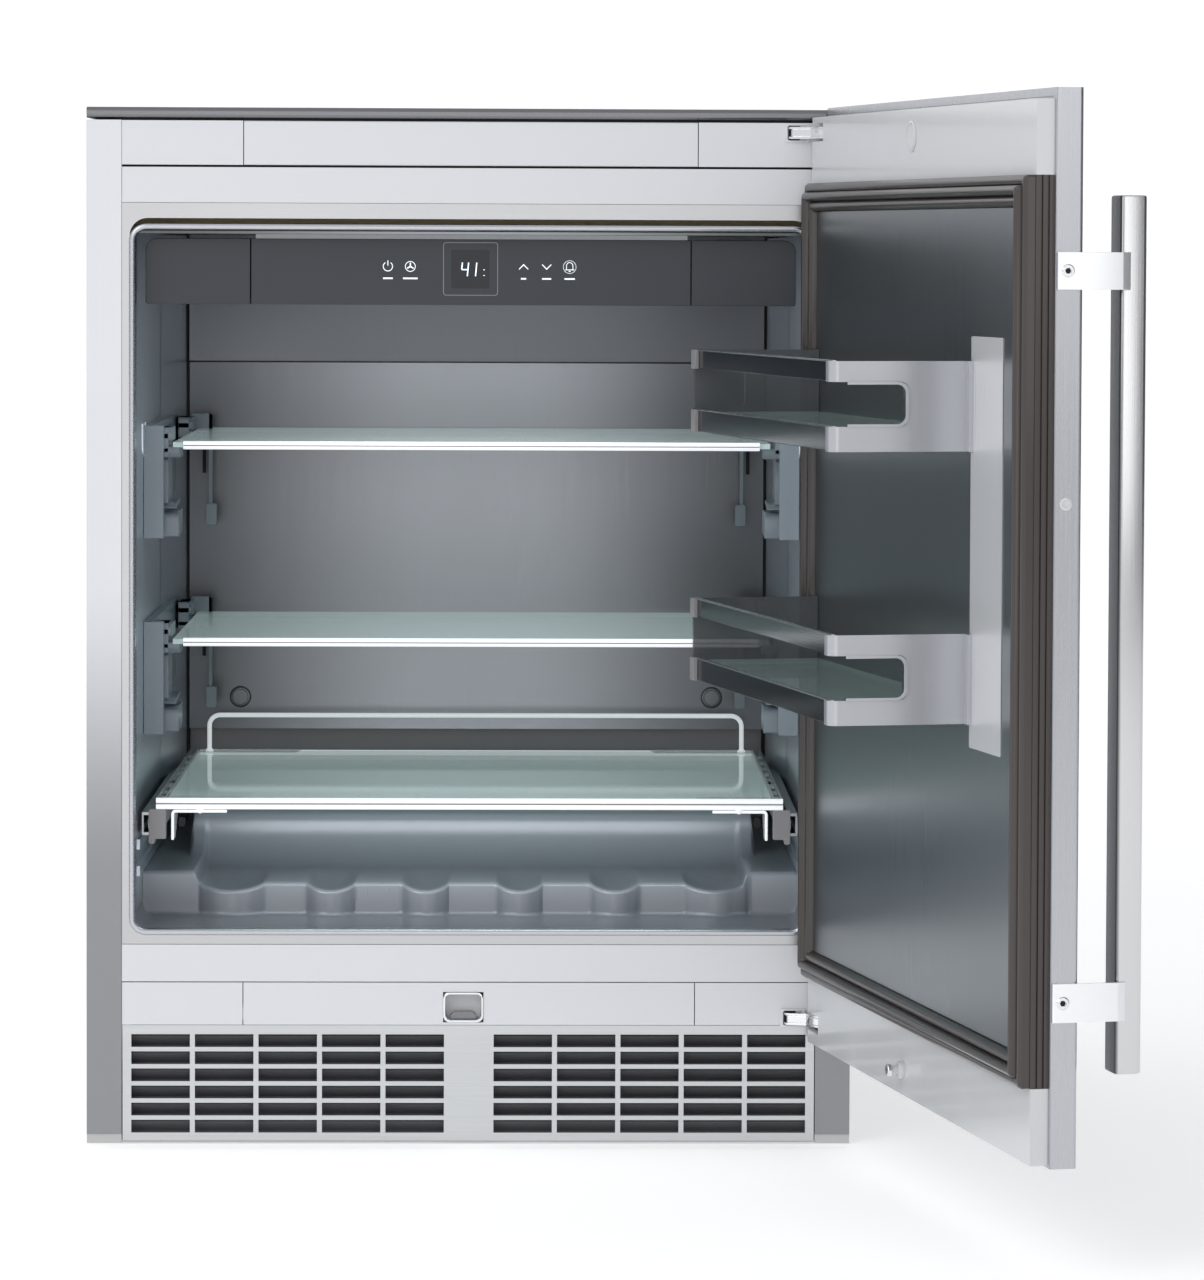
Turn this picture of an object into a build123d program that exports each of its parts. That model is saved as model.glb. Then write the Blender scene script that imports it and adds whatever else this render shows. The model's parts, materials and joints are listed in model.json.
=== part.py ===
"""Undercounter refrigerator: one STEP file per separate piece, in millimetres, +Z up."""
import os

from build123d import *

# driving dimensions
WIDTH = 597.0  # casing, outside
HEIGHT = 809.0
DEPTH = 550.0  # casing, front plane to back sheet
SHEET = 1.5
LEG_W = 27.3
FOOT_H = 7.3
HALF = WIDTH / 2
HALF_IN = 262.0  # inside face of the cavity's side walls
WALL = 2.0
FLOOR_Z = 168.0
CEILING_Z = 711.0
BACK_Y = 503.0
COVER_Y = 464.0  # face of the panel in front of the evaporator
FASCIA_DEEP = 18.0

DOOR_OPEN = 101.9655  # angle from closed to the pose the row rests in
PIVOT = (278.7, -25.45)  # from the front plane of the casing
DOOR_X = 292.5  # hinge-side edge of the door's inner frame, closed
DOOR_Y = -14.0  # inner face of that frame, closed
DOOR_W = 585.0
DOOR_T = 32.0
FRAME_T = 13.0
FRAME_Z = (82.7, 802.7)
SKIN_Z = (80.7, 810.3)
GASKET_Z = (135.0, 751.6)
ARM_Z = (99.0, 791.0)

SHELF_Z = (384.0, 541.0)  # undersides of the two fixed glass shelves
SHELF_BACK = (424.0, 456.0)
SHELF_T = 4.0
SHELF_FRONT = 100.0
PULL_Z = 262.0
PULL_FRONT = 28.0
PULL_BACK = 455.0
RACK_Z = (370.1, 560.5)  # undersides of the two door shelves
RACK_U = (33.0, 444.0)
RACK_V = -104.0
CRADLES = ((-190.5, 26.0), (-111.5, 19.3), (-35.8, 18.6), (39.2, 18.4), (115.2, 19.5), (196.5, 25.6))
FAN_AT = (0.0, 655.0)
COND_FAN_AT = (-60.0, 62.0)

os.makedirs("parts", exist_ok=True)


def box(x0, x1, y0, y1, z0, z1):
    """A box between two corners, with y counted from the casing's front plane."""
    return Pos((x0 + x1) / 2, (y0 + y1) / 2, (z0 + z1) / 2) * Box(x1 - x0, y1 - y0, z1 - z0)


def dbox(u0, u1, v0, v1, z0, z1):
    """A box on the closed door: u from its hinge edge, v outwards from its inner face."""
    return box(DOOR_X - u1, DOOR_X - u0, DOOR_Y - v1, DOOR_Y - v0, z0, z1)


def rod(x, y, z, r, length, axis="z"):
    """A cylinder centred on a point."""
    turn = {"x": Rot(0, 90, 0), "y": Rot(90, 0, 0), "z": Rot(0, 0, 0)}[axis]
    return Pos(x, y, z) * turn * Cylinder(r, length)


def prism(points, z0, z1):
    """An outline in plan, drawn up from z0 to z1."""
    face = make_face(Polyline(*[(x, y, 0) for x, y in points], close=True))
    return Pos(0, 0, z0) * extrude(face, amount=z1 - z0)


def swing(shape):
    """Turn a closed-door piece about the hinge pins to the open rest pose."""
    x, y = PIVOT
    return Pos(x, y, 0) * Rot(0, 0, DOOR_OPEN) * Pos(-x, -y, 0) * shape


def save(name, shape):
    """Write one node, with the origin moved to the middle of the base."""
    shape = Pos(0, -DEPTH / 2, 0) * shape
    shape.label = name
    export_step(shape, f"parts/{name}.step")


def mirror_x(shape):
    return mirror(shape, about=Plane.YZ)


def pair(shape):
    """A piece and its mirror image on the other side."""
    return Compound([shape, mirror_x(shape)])


# casing
def side_panel(sign):
    z0, z1 = FOOT_H, 799.0
    out = box(HALF - SHEET, HALF, 0, DEPTH - SHEET, z0, z1)
    out += box(HALF - LEG_W, HALF, 0, SHEET, z0, z1)
    out += box(HALF - LEG_W, HALF - LEG_W + SHEET, 0, 26, z0, z1)
    return out if sign > 0 else mirror_x(out)


def top_panel():
    out = box(-HALF + 0.3, HALF - 0.3, -1.5, DEPTH, 800.5, HEIGHT)
    out -= box(-HALF + 3.3, HALF - 3.3, 26, DEPTH - 8, 799, HEIGHT - 1.5)
    front = out.edges().filter_by(Axis.X).sort_by(Axis.Y)[0:2]
    return fillet(front, 3.0)


def rear_panel():
    out = box(-HALF + 2, HALF - 2, DEPTH - 1.2, DEPTH, 30, 800)
    for x in (-70, 60, 190):
        out -= box(x - 55, x + 55, DEPTH - 3, DEPTH + 1, 60, 66)
        out -= box(x - 55, x + 55, DEPTH - 3, DEPTH + 1, 80, 86)
        out -= box(x - 55, x + 55, DEPTH - 3, DEPTH + 1, 100, 106)
    return out - box(-190, -160, DEPTH - 3, DEPTH + 1, 60, 82)


def base_plate():
    out = box(-270.5, 270.5, 8, DEPTH - 4, 0, 1.5)
    out += box(-270.5, -269, 8, DEPTH - 4, 0, 26)
    out += box(269, 270.5, 8, DEPTH - 4, 0, 26)
    return out


def foot_rails():
    return pair(box(HALF - LEG_W, HALF, 1, DEPTH - 3, 0, FOOT_H))


# insulated cavity
def liner_side(sign):
    out = box(HALF_IN, HALF_IN + WALL, 4.2, BACK_Y, FLOOR_Z, CEILING_Z)
    for z in (205.0, 226.0):
        out += box(HALF_IN - 2.2, HALF_IN, 40, 440, z, z + 8)
    return out if sign > 0 else mirror_x(out)


def liner_back():
    """The cavity's ceiling and back wall, one bent sheet."""
    out = box(-HALF_IN - WALL, HALF_IN + WALL, 4.2, BACK_Y + 2.1, CEILING_Z + 0.1, CEILING_Z + 2.1)
    return out + box(-HALF_IN - WALL, HALF_IN + WALL, BACK_Y + 0.1, BACK_Y + 2.1, FLOOR_Z, CEILING_Z + 2.1)


def liner_floor():
    out = box(-HALF_IN - WALL, HALF_IN + WALL, 4.2, BACK_Y, FLOOR_Z - 4, FLOOR_Z - 0.1)
    ledge = box(-HALF_IN + 0.3, HALF_IN - 0.3, 92, 236, FLOOR_Z - 4, 194)
    for x, half in CRADLES:
        r = (half * half + 9.5 * 9.5) / 19.0
        bulge = (half * half + 10.0 * 10.0) / 20.0
        ledge += rod(x, 92 + bulge - 10, 175, bulge, 20) & box(x - half, x + half, 80, 100, 165, 186)
        ledge -= rod(x, 150, 194 - 9.5 + r, r, 180, "y")
    out += ledge
    out += box(219, HALF_IN - 0.3, 92, 236, 190, 203) + box(-HALF_IN + 0.3, -219, 92, 236, 190, 203)
    hump = box(-232, 232, 232, BACK_Y, FLOOR_Z - 4, 234.6)
    front = hump.edges().filter_by(Axis.X).group_by(Axis.Y)[0].sort_by(Axis.Z)[-1:]
    out += fillet(front, 6.0)
    out -= box(-258, 258, 96, 228, 150, 181)
    out -= box(-229, 229, 235, BACK_Y - 3, 150, 231.6)
    return out


def foam_shell():
    out = box(-296.5, 296.5, 32, 548, 129, 799)
    out -= box(-264.3, 264.3, 0, 505.3, 163.7, 713.3)
    out -= box(-229, 229, 262, 549, 100, 205)
    out += box(-228.7, 228.7, 236, 499.5, 205, 231.3)
    out += box(-228.7, 228.7, 236, 262, 160, 206)
    return out


def front_frame():
    out = box(-270.9, 270.9, 0.2, 4, 156.6, 734.8)
    hole = box(-260.5, 260.5, -1, 6, FLOOR_Z + 0.5, 714)
    hole = fillet(hole.edges().filter_by(Axis.Y), 9.0)
    out -= hole
    lip = box(-263.5, 263.5, -2.5, 0.2, 165.0, 717) - box(-260.5, 260.5, -4, 6, FLOOR_Z + 0.5, 714)
    out += fillet(lip.edges().filter_by(Axis.Y).group_by(SortBy.LENGTH)[0], 6.0)
    return out


# trims between the legs
def upper_fascia():
    out = box(-176.2, 176.2, 0, FASCIA_DEEP, 764.4, 798.7)
    return fillet(out.edges().filter_by(Axis.X).group_by(Axis.Y)[0], 1.0)


def crossbars():
    upper = box(-270.9, 270.9, 0.4, FASCIA_DEEP, 735.1, 762.6)
    lower = box(-270.9, 270.9, 0, FASCIA_DEEP, 127.2, 156.2)
    return Compound([upper, lower])


def lower_fascia():
    out = box(-176.2, 176.2, 0.4, FASCIA_DEEP, 93.2, 126.4)
    return out - box(-20.2, 11.4, -1, FASCIA_DEEP + 1, 95.2, 119.0)


def fascia_ends():
    upper = box(176.9, 270.9, 0, FASCIA_DEEP, 764.4, 798.7)
    lower = box(176.9, 270.9, 0.4, FASCIA_DEEP, 93.2, 126.4)
    return Compound([upper, lower, mirror_x(upper), mirror_x(lower)])


def lock_keeper():
    out = box(-20.0, 11.2, -0.8, 14, 95.4, 118.8)
    return out - box(-18.3, 9.5, -2, 10, 97.1, 117.1)


def grille():
    out = box(-270.5, 270.5, 1.0, 2.6, 0.5 + 1.5, 92.8)
    bar = 3.9
    cell_w = (244.3 - 4 * bar) / 5
    for start in (-263.7, 19.4):
        for col in range(5):
            x = start + col * (cell_w + bar)
            for row in range(6):
                z = 8.3 + row * 13.46
                out -= box(x, x + cell_w, 0, 4, z, z + 10.0)
    out += box(-270.5, -269.0, 2.6, 7.5, 2.0, 92.8) + box(269.0, 270.5, 2.6, 7.5, 2.0, 92.8)
    return out


def grille_fins():
    fins = []
    for x0, x1 in ((-264.5, -18.8), (18.8, 264.5)):
        block = box(x0, x1, 15.5, 17.0, 2.0, 92.0)
        for row in range(6):
            z = 8.3 + row * 13.46
            blade = Pos((x0 + x1) / 2, 10.0, z + 4.0) * Rot(-38, 0, 0) * Box(x1 - x0, 14.5, 0.9)
            block += blade & box(x0, x1, 3.2, 15.6, 0, 95)
        fins.append(block)
    return Compound(fins)


# controls, light, back of the cavity
def control_panel():
    parts = []
    for x0, x1 in ((-254, -172.4), (-171.7, 171.7), (172.4, 254)):
        parts.append(box(x0, x1, 20, 46, 656, 707.4))
    parts[1] -= box(-18.5, 17.5, 19, 24, 664.5, 704)
    parts[0] = fillet(parts[0].edges().filter_by(Axis.Y).sort_by(Axis.X)[0:2].sort_by(Axis.Z)[-1:], 6.0)
    parts[2] = fillet(parts[2].edges().filter_by(Axis.Y).sort_by(Axis.X)[-2:].sort_by(Axis.Z)[-1:], 6.0)
    return Compound(parts)


def display_window():
    return box(-18.2, 17.2, 20.3, 23.9, 664.8, 703.7)


def led_strip():
    return box(-170, 170, 56, 74, 706.5, CEILING_Z - 0.1)


def back_panel():
    out = box(-248, 248, COVER_Y, COVER_Y + 2, 284, 601)
    out += box(-248, -246, COVER_Y + 2, BACK_Y - 0.2, 284, 601)
    out += box(246, 248, COVER_Y + 2, BACK_Y - 0.2, 284, 601)
    for x in (-204, 204):
        out -= rod(x, COVER_Y, 311.5, 6.0, 12, "y")
    return out


def fan_cover():
    out = box(-248, 248, COVER_Y - 4, COVER_Y - 2, 602.5, CEILING_Z - 0.2)
    for k in range(9):
        x = -160 + k * 40
        out -= box(x - 14, x + 14, COVER_Y - 6, COVER_Y, 694, 699)
    for k in range(7):
        z = 657.0 + k * 5
        out -= box(-44, 44, COVER_Y - 6, COVER_Y, z, z + 2.6)
    return out


def duct_plugs():
    one = rod(204, COVER_Y - 1.0, 311.5, 8.7, 1.9, "y") + rod(204, COVER_Y + 3, 311.5, 5.9, 7.9, "y")
    return pair(one)


def evaporator():
    out = box(-200, 200, COVER_Y + 8, COVER_Y + 30, 340, 344)
    for k in range(33):
        x = -200 + k * 12.4
        out += box(x, x + 1.2, COVER_Y + 8, COVER_Y + 30, 340, 575)
    for z in (360.0, 400.0, 440.0, 480.0, 520.0, 560.0):
        out += rod(-0.9, COVER_Y + 19, z, 4.0, 430, "x")
    return out


def fan_rotor(x, z, y, r, hub, depth):
    """A hub and seven pitched blades that turn about an axis along y."""
    out = rod(x, y, z, hub, depth, "y")
    for k in range(7):
        blade = Pos((hub + r) / 2 - 1, 0, 0) * Rot(32, 0, 0) * Box(r - hub + 2, 1.4, depth * 0.95)
        out += Pos(x, y, z) * Rot(0, 360 / 7 * k, 0) * (blade & rod(0, 0, 0, r, depth, "y"))
    return out


def evaporator_fan():
    return fan_rotor(FAN_AT[0], FAN_AT[1], COVER_Y + 17, 38, 15, 16)


def evaporator_fan_frame():
    x, z = FAN_AT
    y = COVER_Y + 17
    out = box(x - 48, x + 48, y - 10, y + 10, z - 48, z + 48) - rod(x, y, z, 39.5, 40, "y")
    motor = rod(x, y + 13.5, z, 14, 7, "y")
    for a in (45, 135):
        arm = Box(124, 3, 6)
        motor += (Pos(x, y + 11.5, z) * Rot(0, a, 0) * arm) & box(x - 48, x + 48, y, y + 13, z - 48, z + 48)
    return out + motor


# fixed shelves
def shelf_support(z):
    """Left and right holder for a glass shelf with its underside at z."""
    y0, y1 = 106.0, 440.0
    out = box(246, HALF_IN - 0.2, y0, y1, z - 73, z + 17)
    out -= box(253, HALF_IN - 4, y0 + 4, y1 + 1, z - 80, z - 14)
    for a, b in ((y0, y0 + 46), (y1 - 60, y1 - 14)):
        jaw = box(231, 246.5, a, b, z - 9, z + 17)
        jaw -= box(230, 239.0, a - 1, b + 1, z - 0.05, z + SHELF_T + 0.4)
        out += jaw
    out -= box(245, 251, y0 - 1, y0 + 46, z - 50, z - 38)
    return out


def shelf_supports():
    parts = [shelf_support(z) for z in SHELF_Z]
    return Compound(parts + [mirror_x(p) for p in parts])


def glass_shelf(z, back):
    return box(-238, 238, SHELF_FRONT, back, z, z + SHELF_T)


def shelf_trim(z):
    out = box(-230.5, 230.5, SHELF_FRONT - 5, SHELF_FRONT - 0.05, z - 1.5, z + SHELF_T + 1.2)
    return fillet(out.edges().filter_by(Axis.X).group_by(Axis.Y)[0], 2.0)


# pull-out shelf
def pullout_glass():
    return box(-238.5, 238.5, PULL_FRONT + 4.2, PULL_BACK, PULL_Z, PULL_Z + SHELF_T)


def pullout_frame():
    rail = box(238.7, 246.5, PULL_FRONT, PULL_BACK, PULL_Z - 3, PULL_Z + 6)
    rail += box(226, 246.5, PULL_FRONT + 6, PULL_BACK - 2, PULL_Z - 3, PULL_Z - 0.1)
    out = rail + mirror_x(rail)
    out += box(-246.5, 246.5, PULL_FRONT, PULL_FRONT + 4, PULL_Z + 0.5, PULL_Z + 6)
    out += box(-246.5, 246.5, PULL_FRONT, PULL_FRONT + 8, PULL_Z - 3, PULL_Z - 0.1)
    out += box(-246.5, 246.5, PULL_FRONT, PULL_FRONT + 4.1, PULL_Z - 3, PULL_Z + 6)
    return out


def pullout_wire():
    top, side, low, r = PULL_Z + 36, 229.0, PULL_Z + SHELF_T + 0.05, 9.0
    ends = [(-side, 436, low), (-side, 436, top), (side, 436, top), (side, 436, low)]
    path = FilletPolyline(*ends, radius=r)
    section = Plane(origin=(-side, 436, low), z_dir=(0, 0, 1)) * Circle(2.0)
    return sweep(section, path=path)


def slide_fixed():
    out = box(250.8, 258.0, 36, 446, 238, 256)
    out += box(258.0, 259.6, 60, 100, 236, 250) + box(258.0, 259.6, 380, 420, 236, 250)
    out -= box(249, 256.6, 34, 448, 240.2, 253.8)
    return pair(out)


def slide_middle():
    out = box(247.7, 250.4, 36, 446, 241, 253) + box(250.4, 253.0, 36, 446, 243.5, 250.5)
    return pair(out)


def slide_moving():
    out = box(243.2, 247.4, 36, 446, 240, PULL_Z - 3.05)
    cap = box(238.5, 252.4, 29, 35.9, 235.5, PULL_Z - 3.05)
    cap += box(247.0, 252.4, 29, 35.9, 231.5, 236)
    return pair(out + cap)


# machine bay
def compressor():
    can = Pos(20, 400, 74) * Sphere(62)
    out = rod(20, 400, 84, 62, 50) + (Pos(20, 400, 109) * Sphere(62)) + (Pos(20, 400, 59) * Sphere(62))
    out &= box(-60, 100, 320, 480, 12, 158)
    for x in (-40, 80):
        out += box(x - 14, x + 14, 340, 460, 9, 12.2)
        for y in (350, 450):
            out += rod(x, y, 5.3, 9, 7.5)
    out += rod(86, 400, 120, 4, 40, "x")
    return out


def condenser():
    out = box(-250, 250, 34, 36, 12, 16)
    for k in range(42):
        x = -250 + k * 12.1
        out += box(x, x + 0.9, 34, 56, 12, 118)
    for z in (22.0, 44.0, 66.0, 88.0, 108.0):
        out += rod(-1.5, 45, z, 3.2, 512, "x")
    return out


def condenser_fan():
    return fan_rotor(COND_FAN_AT[0], COND_FAN_AT[1], 76, 44, 16, 18)


def condenser_fan_frame():
    x, z = COND_FAN_AT
    out = box(x - 54, x + 54, 64, 88, z - 54, z + 54) - rod(x, 76, z, 45.5, 60, "y")
    out += box(x - 54, x - 30, 64, 88, 1.6, z - 50) + box(x + 30, x + 54, 64, 88, 1.6, z - 50)
    motor = rod(x, 96, z, 18, 20, "y")
    for a in (45, 135):
        arm = Pos(x, 88.5, z) * Rot(0, a, 0) * Box(140, 4, 7)
        motor += arm & box(x - 54, x + 54, 86.5, 91, z - 54, z + 54)
    return out + motor


def drip_tray():
    out = box(130, 250, 330, 500, 1.6, 40)
    return out - box(132, 248, 332, 498, 3.6, 41)


def power_inlet():
    out = box(-190, -160, DEPTH - 26, DEPTH + 1.5, 60, 82)
    return out - box(-187, -163, DEPTH - 18, DEPTH + 2, 63, 79)


# door
def pocket(z):
    """Room for a hinge arm through the whole travel of the door."""
    return dbox(-5, 31, -1, 19.6, z - 7, z + 7)


def door_skin():
    z0, z1 = SKIN_Z
    out = dbox(-3.5, 589.0, FRAME_T, DOOR_T, z0, z1)
    out = fillet(out.edges().filter_by(Axis.Z).group_by(Axis.Y)[0], 2.5)
    out -= dbox(-2.3, 587.8, FRAME_T - 1, DOOR_T - 1.2, z0 + 1.2, z1 - 1.2)
    return out


def door_foam():
    z0, z1 = SKIN_Z
    out = dbox(-2.1, 587.6, FRAME_T + 0.1, DOOR_T - 1.3, z0 + 1.4, z1 - 1.4)
    for z in ARM_Z:
        out -= pocket(z)
    return out


def door_frame():
    z0, z1 = FRAME_Z
    out = dbox(0, DOOR_W, 0, FRAME_T, z0, z1)
    for u0, u1 in ((-1, 14), (571, DOOR_W + 1)):
        out -= dbox(u0, u1, -1, FRAME_T + 1, *GASKET_Z)
    for z in ARM_Z:
        out -= pocket(z)
    return out


def gasket_ring(inset, v0, v1):
    z0, z1 = GASKET_Z
    return dbox(5 + inset, 584 - inset, v0, v1, z0 + inset, z1 - inset)


def edge_profile(u0, u1, rim):
    """The dark profile along an upright edge of the door, with two grooves in its rim."""
    z0, z1 = GASKET_Z
    out = dbox(u0, u1, -0.05, FRAME_T - 0.05, z0 + 0.1, z1 - 0.1)
    for v in (3.6, 8.4):
        out -= dbox(rim - 1.6, rim + 1.6, v, v + 1.4, z0 - 1, z1 + 1)
    return out


def door_gasket():
    out = gasket_ring(0, -6.5, -0.05) + gasket_ring(3.2, -12.8, -6)
    out -= gasket_ring(10.2, -14, -7.5) - gasket_ring(12.6, -14, -4)
    out -= gasket_ring(22, -14, 1)
    return out + edge_profile(0.1, 13.9, 0) + edge_profile(571.1, 584.9, DOOR_W)


def door_inner_panel():
    z0, z1 = GASKET_Z
    return dbox(27.4, 561.6, -3, -0.05, z0 + 22.4, z1 - 22.4)


def door_plugs():
    flat = rod(DOOR_X - 280.5, DOOR_Y + 0.4, 782.8, 11.5, 0.75, "y")
    side = rod(DOOR_X - 589.4, DOOR_Y - 21, 530.5, 4.4, 0.75, "x")
    return Compound([flat, side])


def door_stud():
    x = DOOR_X - 271.5
    out = rod(x, DOOR_Y + 2.05, 101.4, 6.5, 4, "y") + rod(x, DOOR_Y + 5, 101.4, 3, 6, "y")
    hexagon = extrude(RegularPolygon(5.0, 6), amount=4)
    return out + Pos(x, DOOR_Y + 10.5, 101.4) * Rot(90, 0, 0) * hexagon


def handle_bar():
    out = dbox(565.0, 588.9, 58.7, 77.3, 143.6, 738.2)
    return fillet(out.edges().filter_by(Axis.Z), 1.5)


def handle_brackets():
    parts = []
    x = DOOR_X - 589.0
    y = DOOR_Y
    plan = [(x, y - 13.2), (x - 3, y - 13.2), (x - 3, y - 59.5), (x, y - 66.8)]
    for z0, z1 in ((180.4, 206.8), (674.6, 699.8)):
        parts.append(prism(plan, z0, z1))
    return Compound(parts)


def handle_screws():
    parts = []
    for z in (193.6, 687.2):
        parts.append(rod(DOOR_X - 592.7, DOOR_Y - 20.5, z, 3.9, 1.35, "x"))
    return Compound(parts)


def rack_side(u, flip):
    """One end bracket of a door shelf, standing at u, foot at z = 0."""
    t = 3.6
    way = -1 if flip else 1
    a, b = sorted((u, u + way * t))
    out = dbox(a, b, RACK_V, -3.1, 0, 63.1)
    out -= dbox(a - 1, b + 1, RACK_V - 1, -48, 17.5, 48.6)
    c, d = sorted((u, u - way * (10 if flip else 5.4)))
    out += dbox(c, d, -6.5, -3.1, 0, 63.1)
    c, d = sorted((u, u + way * 12.6))
    for low, high in ((0, 17.5), (48.6, 63.1)):
        out += dbox(c, d, RACK_V, RACK_V + 3.1, low, high)
    return out


def rack_sides():
    parts = []
    for z in RACK_Z:
        for u, flip in ((RACK_U[0], False), (RACK_U[1], True)):
            parts.append(Pos(0, 0, z) * rack_side(u, flip))
    return Compound(parts)


def rack_rails():
    parts = []
    u0, u1 = RACK_U[0] + 3.7, RACK_U[1] - 3.7
    for z in RACK_Z:
        for low, high in ((0.4, 17.9), (49.0, 63.6)):
            parts.append(dbox(u0, u1, RACK_V + 3.15, RACK_V + 4.7, z + low, z + high))
    return Compound(parts)


def rack_glass():
    parts = []
    for z in RACK_Z:
        parts.append(dbox(RACK_U[0] + 3.7, RACK_U[1] - 3.7, RACK_V + 4.8, -3.2, z + 11.5, z + 15.5))
    return Compound(parts)


# hinges
def hinge_arms():
    x, y = PIVOT
    parts = []
    for z in ARM_Z:
        bar = prism([(x - 3.4, y - 3.2), (x + 3.6, y + 3.2), (268.5, -5.6), (252, -0.2), (246, -0.2), (248, -6.5), (263.5, -11)],
                    z - 4.7, z + 4.7)
        arm = bar + rod(x, y, z, 6.4, 9.4) + box(244.5, 264, -1.3, -0.05, z - 5.6, z + 5.6)
        parts.append(arm - rod(x, y, z, 3.05, 30))
    return Compound(parts)


def hinge_pins():
    x, y = PIVOT
    parts = [rod(x, y, z, 3.0, 13.9) for z in ARM_Z]
    return Compound(parts)


for name, shape in {
    "side_panel_left": side_panel(-1),
    "side_panel_right": side_panel(1),
    "top_panel": top_panel(),
    "rear_panel": rear_panel(),
    "base_plate": base_plate(),
    "foot_rails": foot_rails(),
    "liner_side_left": liner_side(-1),
    "liner_side_right": liner_side(1),
    "liner_back": liner_back(),
    "liner_floor": liner_floor(),
    "foam_shell": foam_shell(),
    "front_frame": front_frame(),
    "upper_fascia": upper_fascia(),
    "crossbars": crossbars(),
    "lower_fascia": lower_fascia(),
    "fascia_ends": fascia_ends(),
    "lock_keeper": lock_keeper(),
    "grille": grille(),
    "grille_fins": grille_fins(),
    "control_panel": control_panel(),
    "display_window": display_window(),
    "led_strip": led_strip(),
    "back_panel": back_panel(),
    "fan_cover": fan_cover(),
    "duct_plugs": duct_plugs(),
    "evaporator": evaporator(),
    "evaporator_fan": evaporator_fan(),
    "evaporator_fan_frame": evaporator_fan_frame(),
    "shelf_supports": shelf_supports(),
    "lower_shelf_glass": glass_shelf(SHELF_Z[0], SHELF_BACK[0]),
    "upper_shelf_glass": glass_shelf(SHELF_Z[1], SHELF_BACK[1]),
    "lower_shelf_trim": shelf_trim(SHELF_Z[0]),
    "upper_shelf_trim": shelf_trim(SHELF_Z[1]),
    "pullout_glass": pullout_glass(),
    "pullout_frame": pullout_frame(),
    "pullout_wire": pullout_wire(),
    "slide_fixed": slide_fixed(),
    "slide_middle": slide_middle(),
    "slide_moving": slide_moving(),
    "compressor": compressor(),
    "condenser": condenser(),
    "condenser_fan": condenser_fan(),
    "condenser_fan_frame": condenser_fan_frame(),
    "drip_tray": drip_tray(),
    "power_inlet": power_inlet(),
    "hinge_arms": hinge_arms(),
    "hinge_pins": swing(hinge_pins()),
    "door_skin": swing(door_skin()),
    "door_foam": swing(door_foam()),
    "door_frame": swing(door_frame()),
    "door_gasket": swing(door_gasket()),
    "door_inner_panel": swing(door_inner_panel()),
    "door_plugs": swing(door_plugs()),
    "door_stud": swing(door_stud()),
    "handle_bar": swing(handle_bar()),
    "handle_brackets": swing(handle_brackets()),
    "handle_screws": swing(handle_screws()),
    "rack_sides": swing(rack_sides()),
    "rack_rails": swing(rack_rails()),
    "rack_glass": swing(rack_glass()),
}.items():
    save(name, shape)
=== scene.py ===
import json
import math

import bpy
import numpy as np
from mathutils import Matrix, Vector


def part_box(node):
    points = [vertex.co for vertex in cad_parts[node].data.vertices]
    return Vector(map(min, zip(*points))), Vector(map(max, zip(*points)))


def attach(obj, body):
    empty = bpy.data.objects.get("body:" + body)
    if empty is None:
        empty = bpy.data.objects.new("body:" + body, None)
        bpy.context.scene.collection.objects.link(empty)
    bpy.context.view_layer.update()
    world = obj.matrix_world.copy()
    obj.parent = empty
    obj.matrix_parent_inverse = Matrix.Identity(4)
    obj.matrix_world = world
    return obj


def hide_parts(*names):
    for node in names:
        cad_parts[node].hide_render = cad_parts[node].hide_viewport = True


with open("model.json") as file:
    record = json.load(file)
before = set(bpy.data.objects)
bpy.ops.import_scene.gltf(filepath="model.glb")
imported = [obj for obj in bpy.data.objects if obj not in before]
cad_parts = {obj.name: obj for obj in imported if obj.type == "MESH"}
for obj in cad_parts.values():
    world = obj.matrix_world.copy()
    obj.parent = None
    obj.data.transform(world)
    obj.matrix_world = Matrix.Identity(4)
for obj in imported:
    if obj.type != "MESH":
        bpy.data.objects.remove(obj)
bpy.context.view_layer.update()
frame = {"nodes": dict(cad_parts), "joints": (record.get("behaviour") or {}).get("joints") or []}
nodes = frame["nodes"]
joints = {j["name"]: j for j in frame["joints"]}
print("frame loaded:", len(nodes), "nodes")

# places: everything below is given in mm, either on the casing or on the closed door
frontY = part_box("side_panel_left")[0].y  # front plane of the casing
hingeX, hingeY = joints["door_swing"]["pos_m"][:2]
openAngle = -math.radians(joints["door_swing"]["range_deg"][0])
doorEdge = dict(x=0.2925, y=frontY - 0.014)  # hinge-side inner corner of the closed door


def casing(pts):
    # x, depth behind the front plane and height in mm -> metres in the row's frame
    return np.asarray(pts, float) / 1000 + np.array([0, frontY, 0])


def onDoor(pts):
    # u from the hinge edge, v outwards, z, on the closed door -> turned about the hinge to the open door
    pts = np.asarray(pts, float) / 1000
    x = doorEdge["x"] - pts[..., 0] - hingeX
    y = doorEdge["y"] - pts[..., 1] - hingeY
    c, s = math.cos(openAngle), math.sin(openAngle)
    return np.stack([hingeX + c * x - s * y, hingeY + s * x + c * y, pts[..., 2]], -1)


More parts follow.
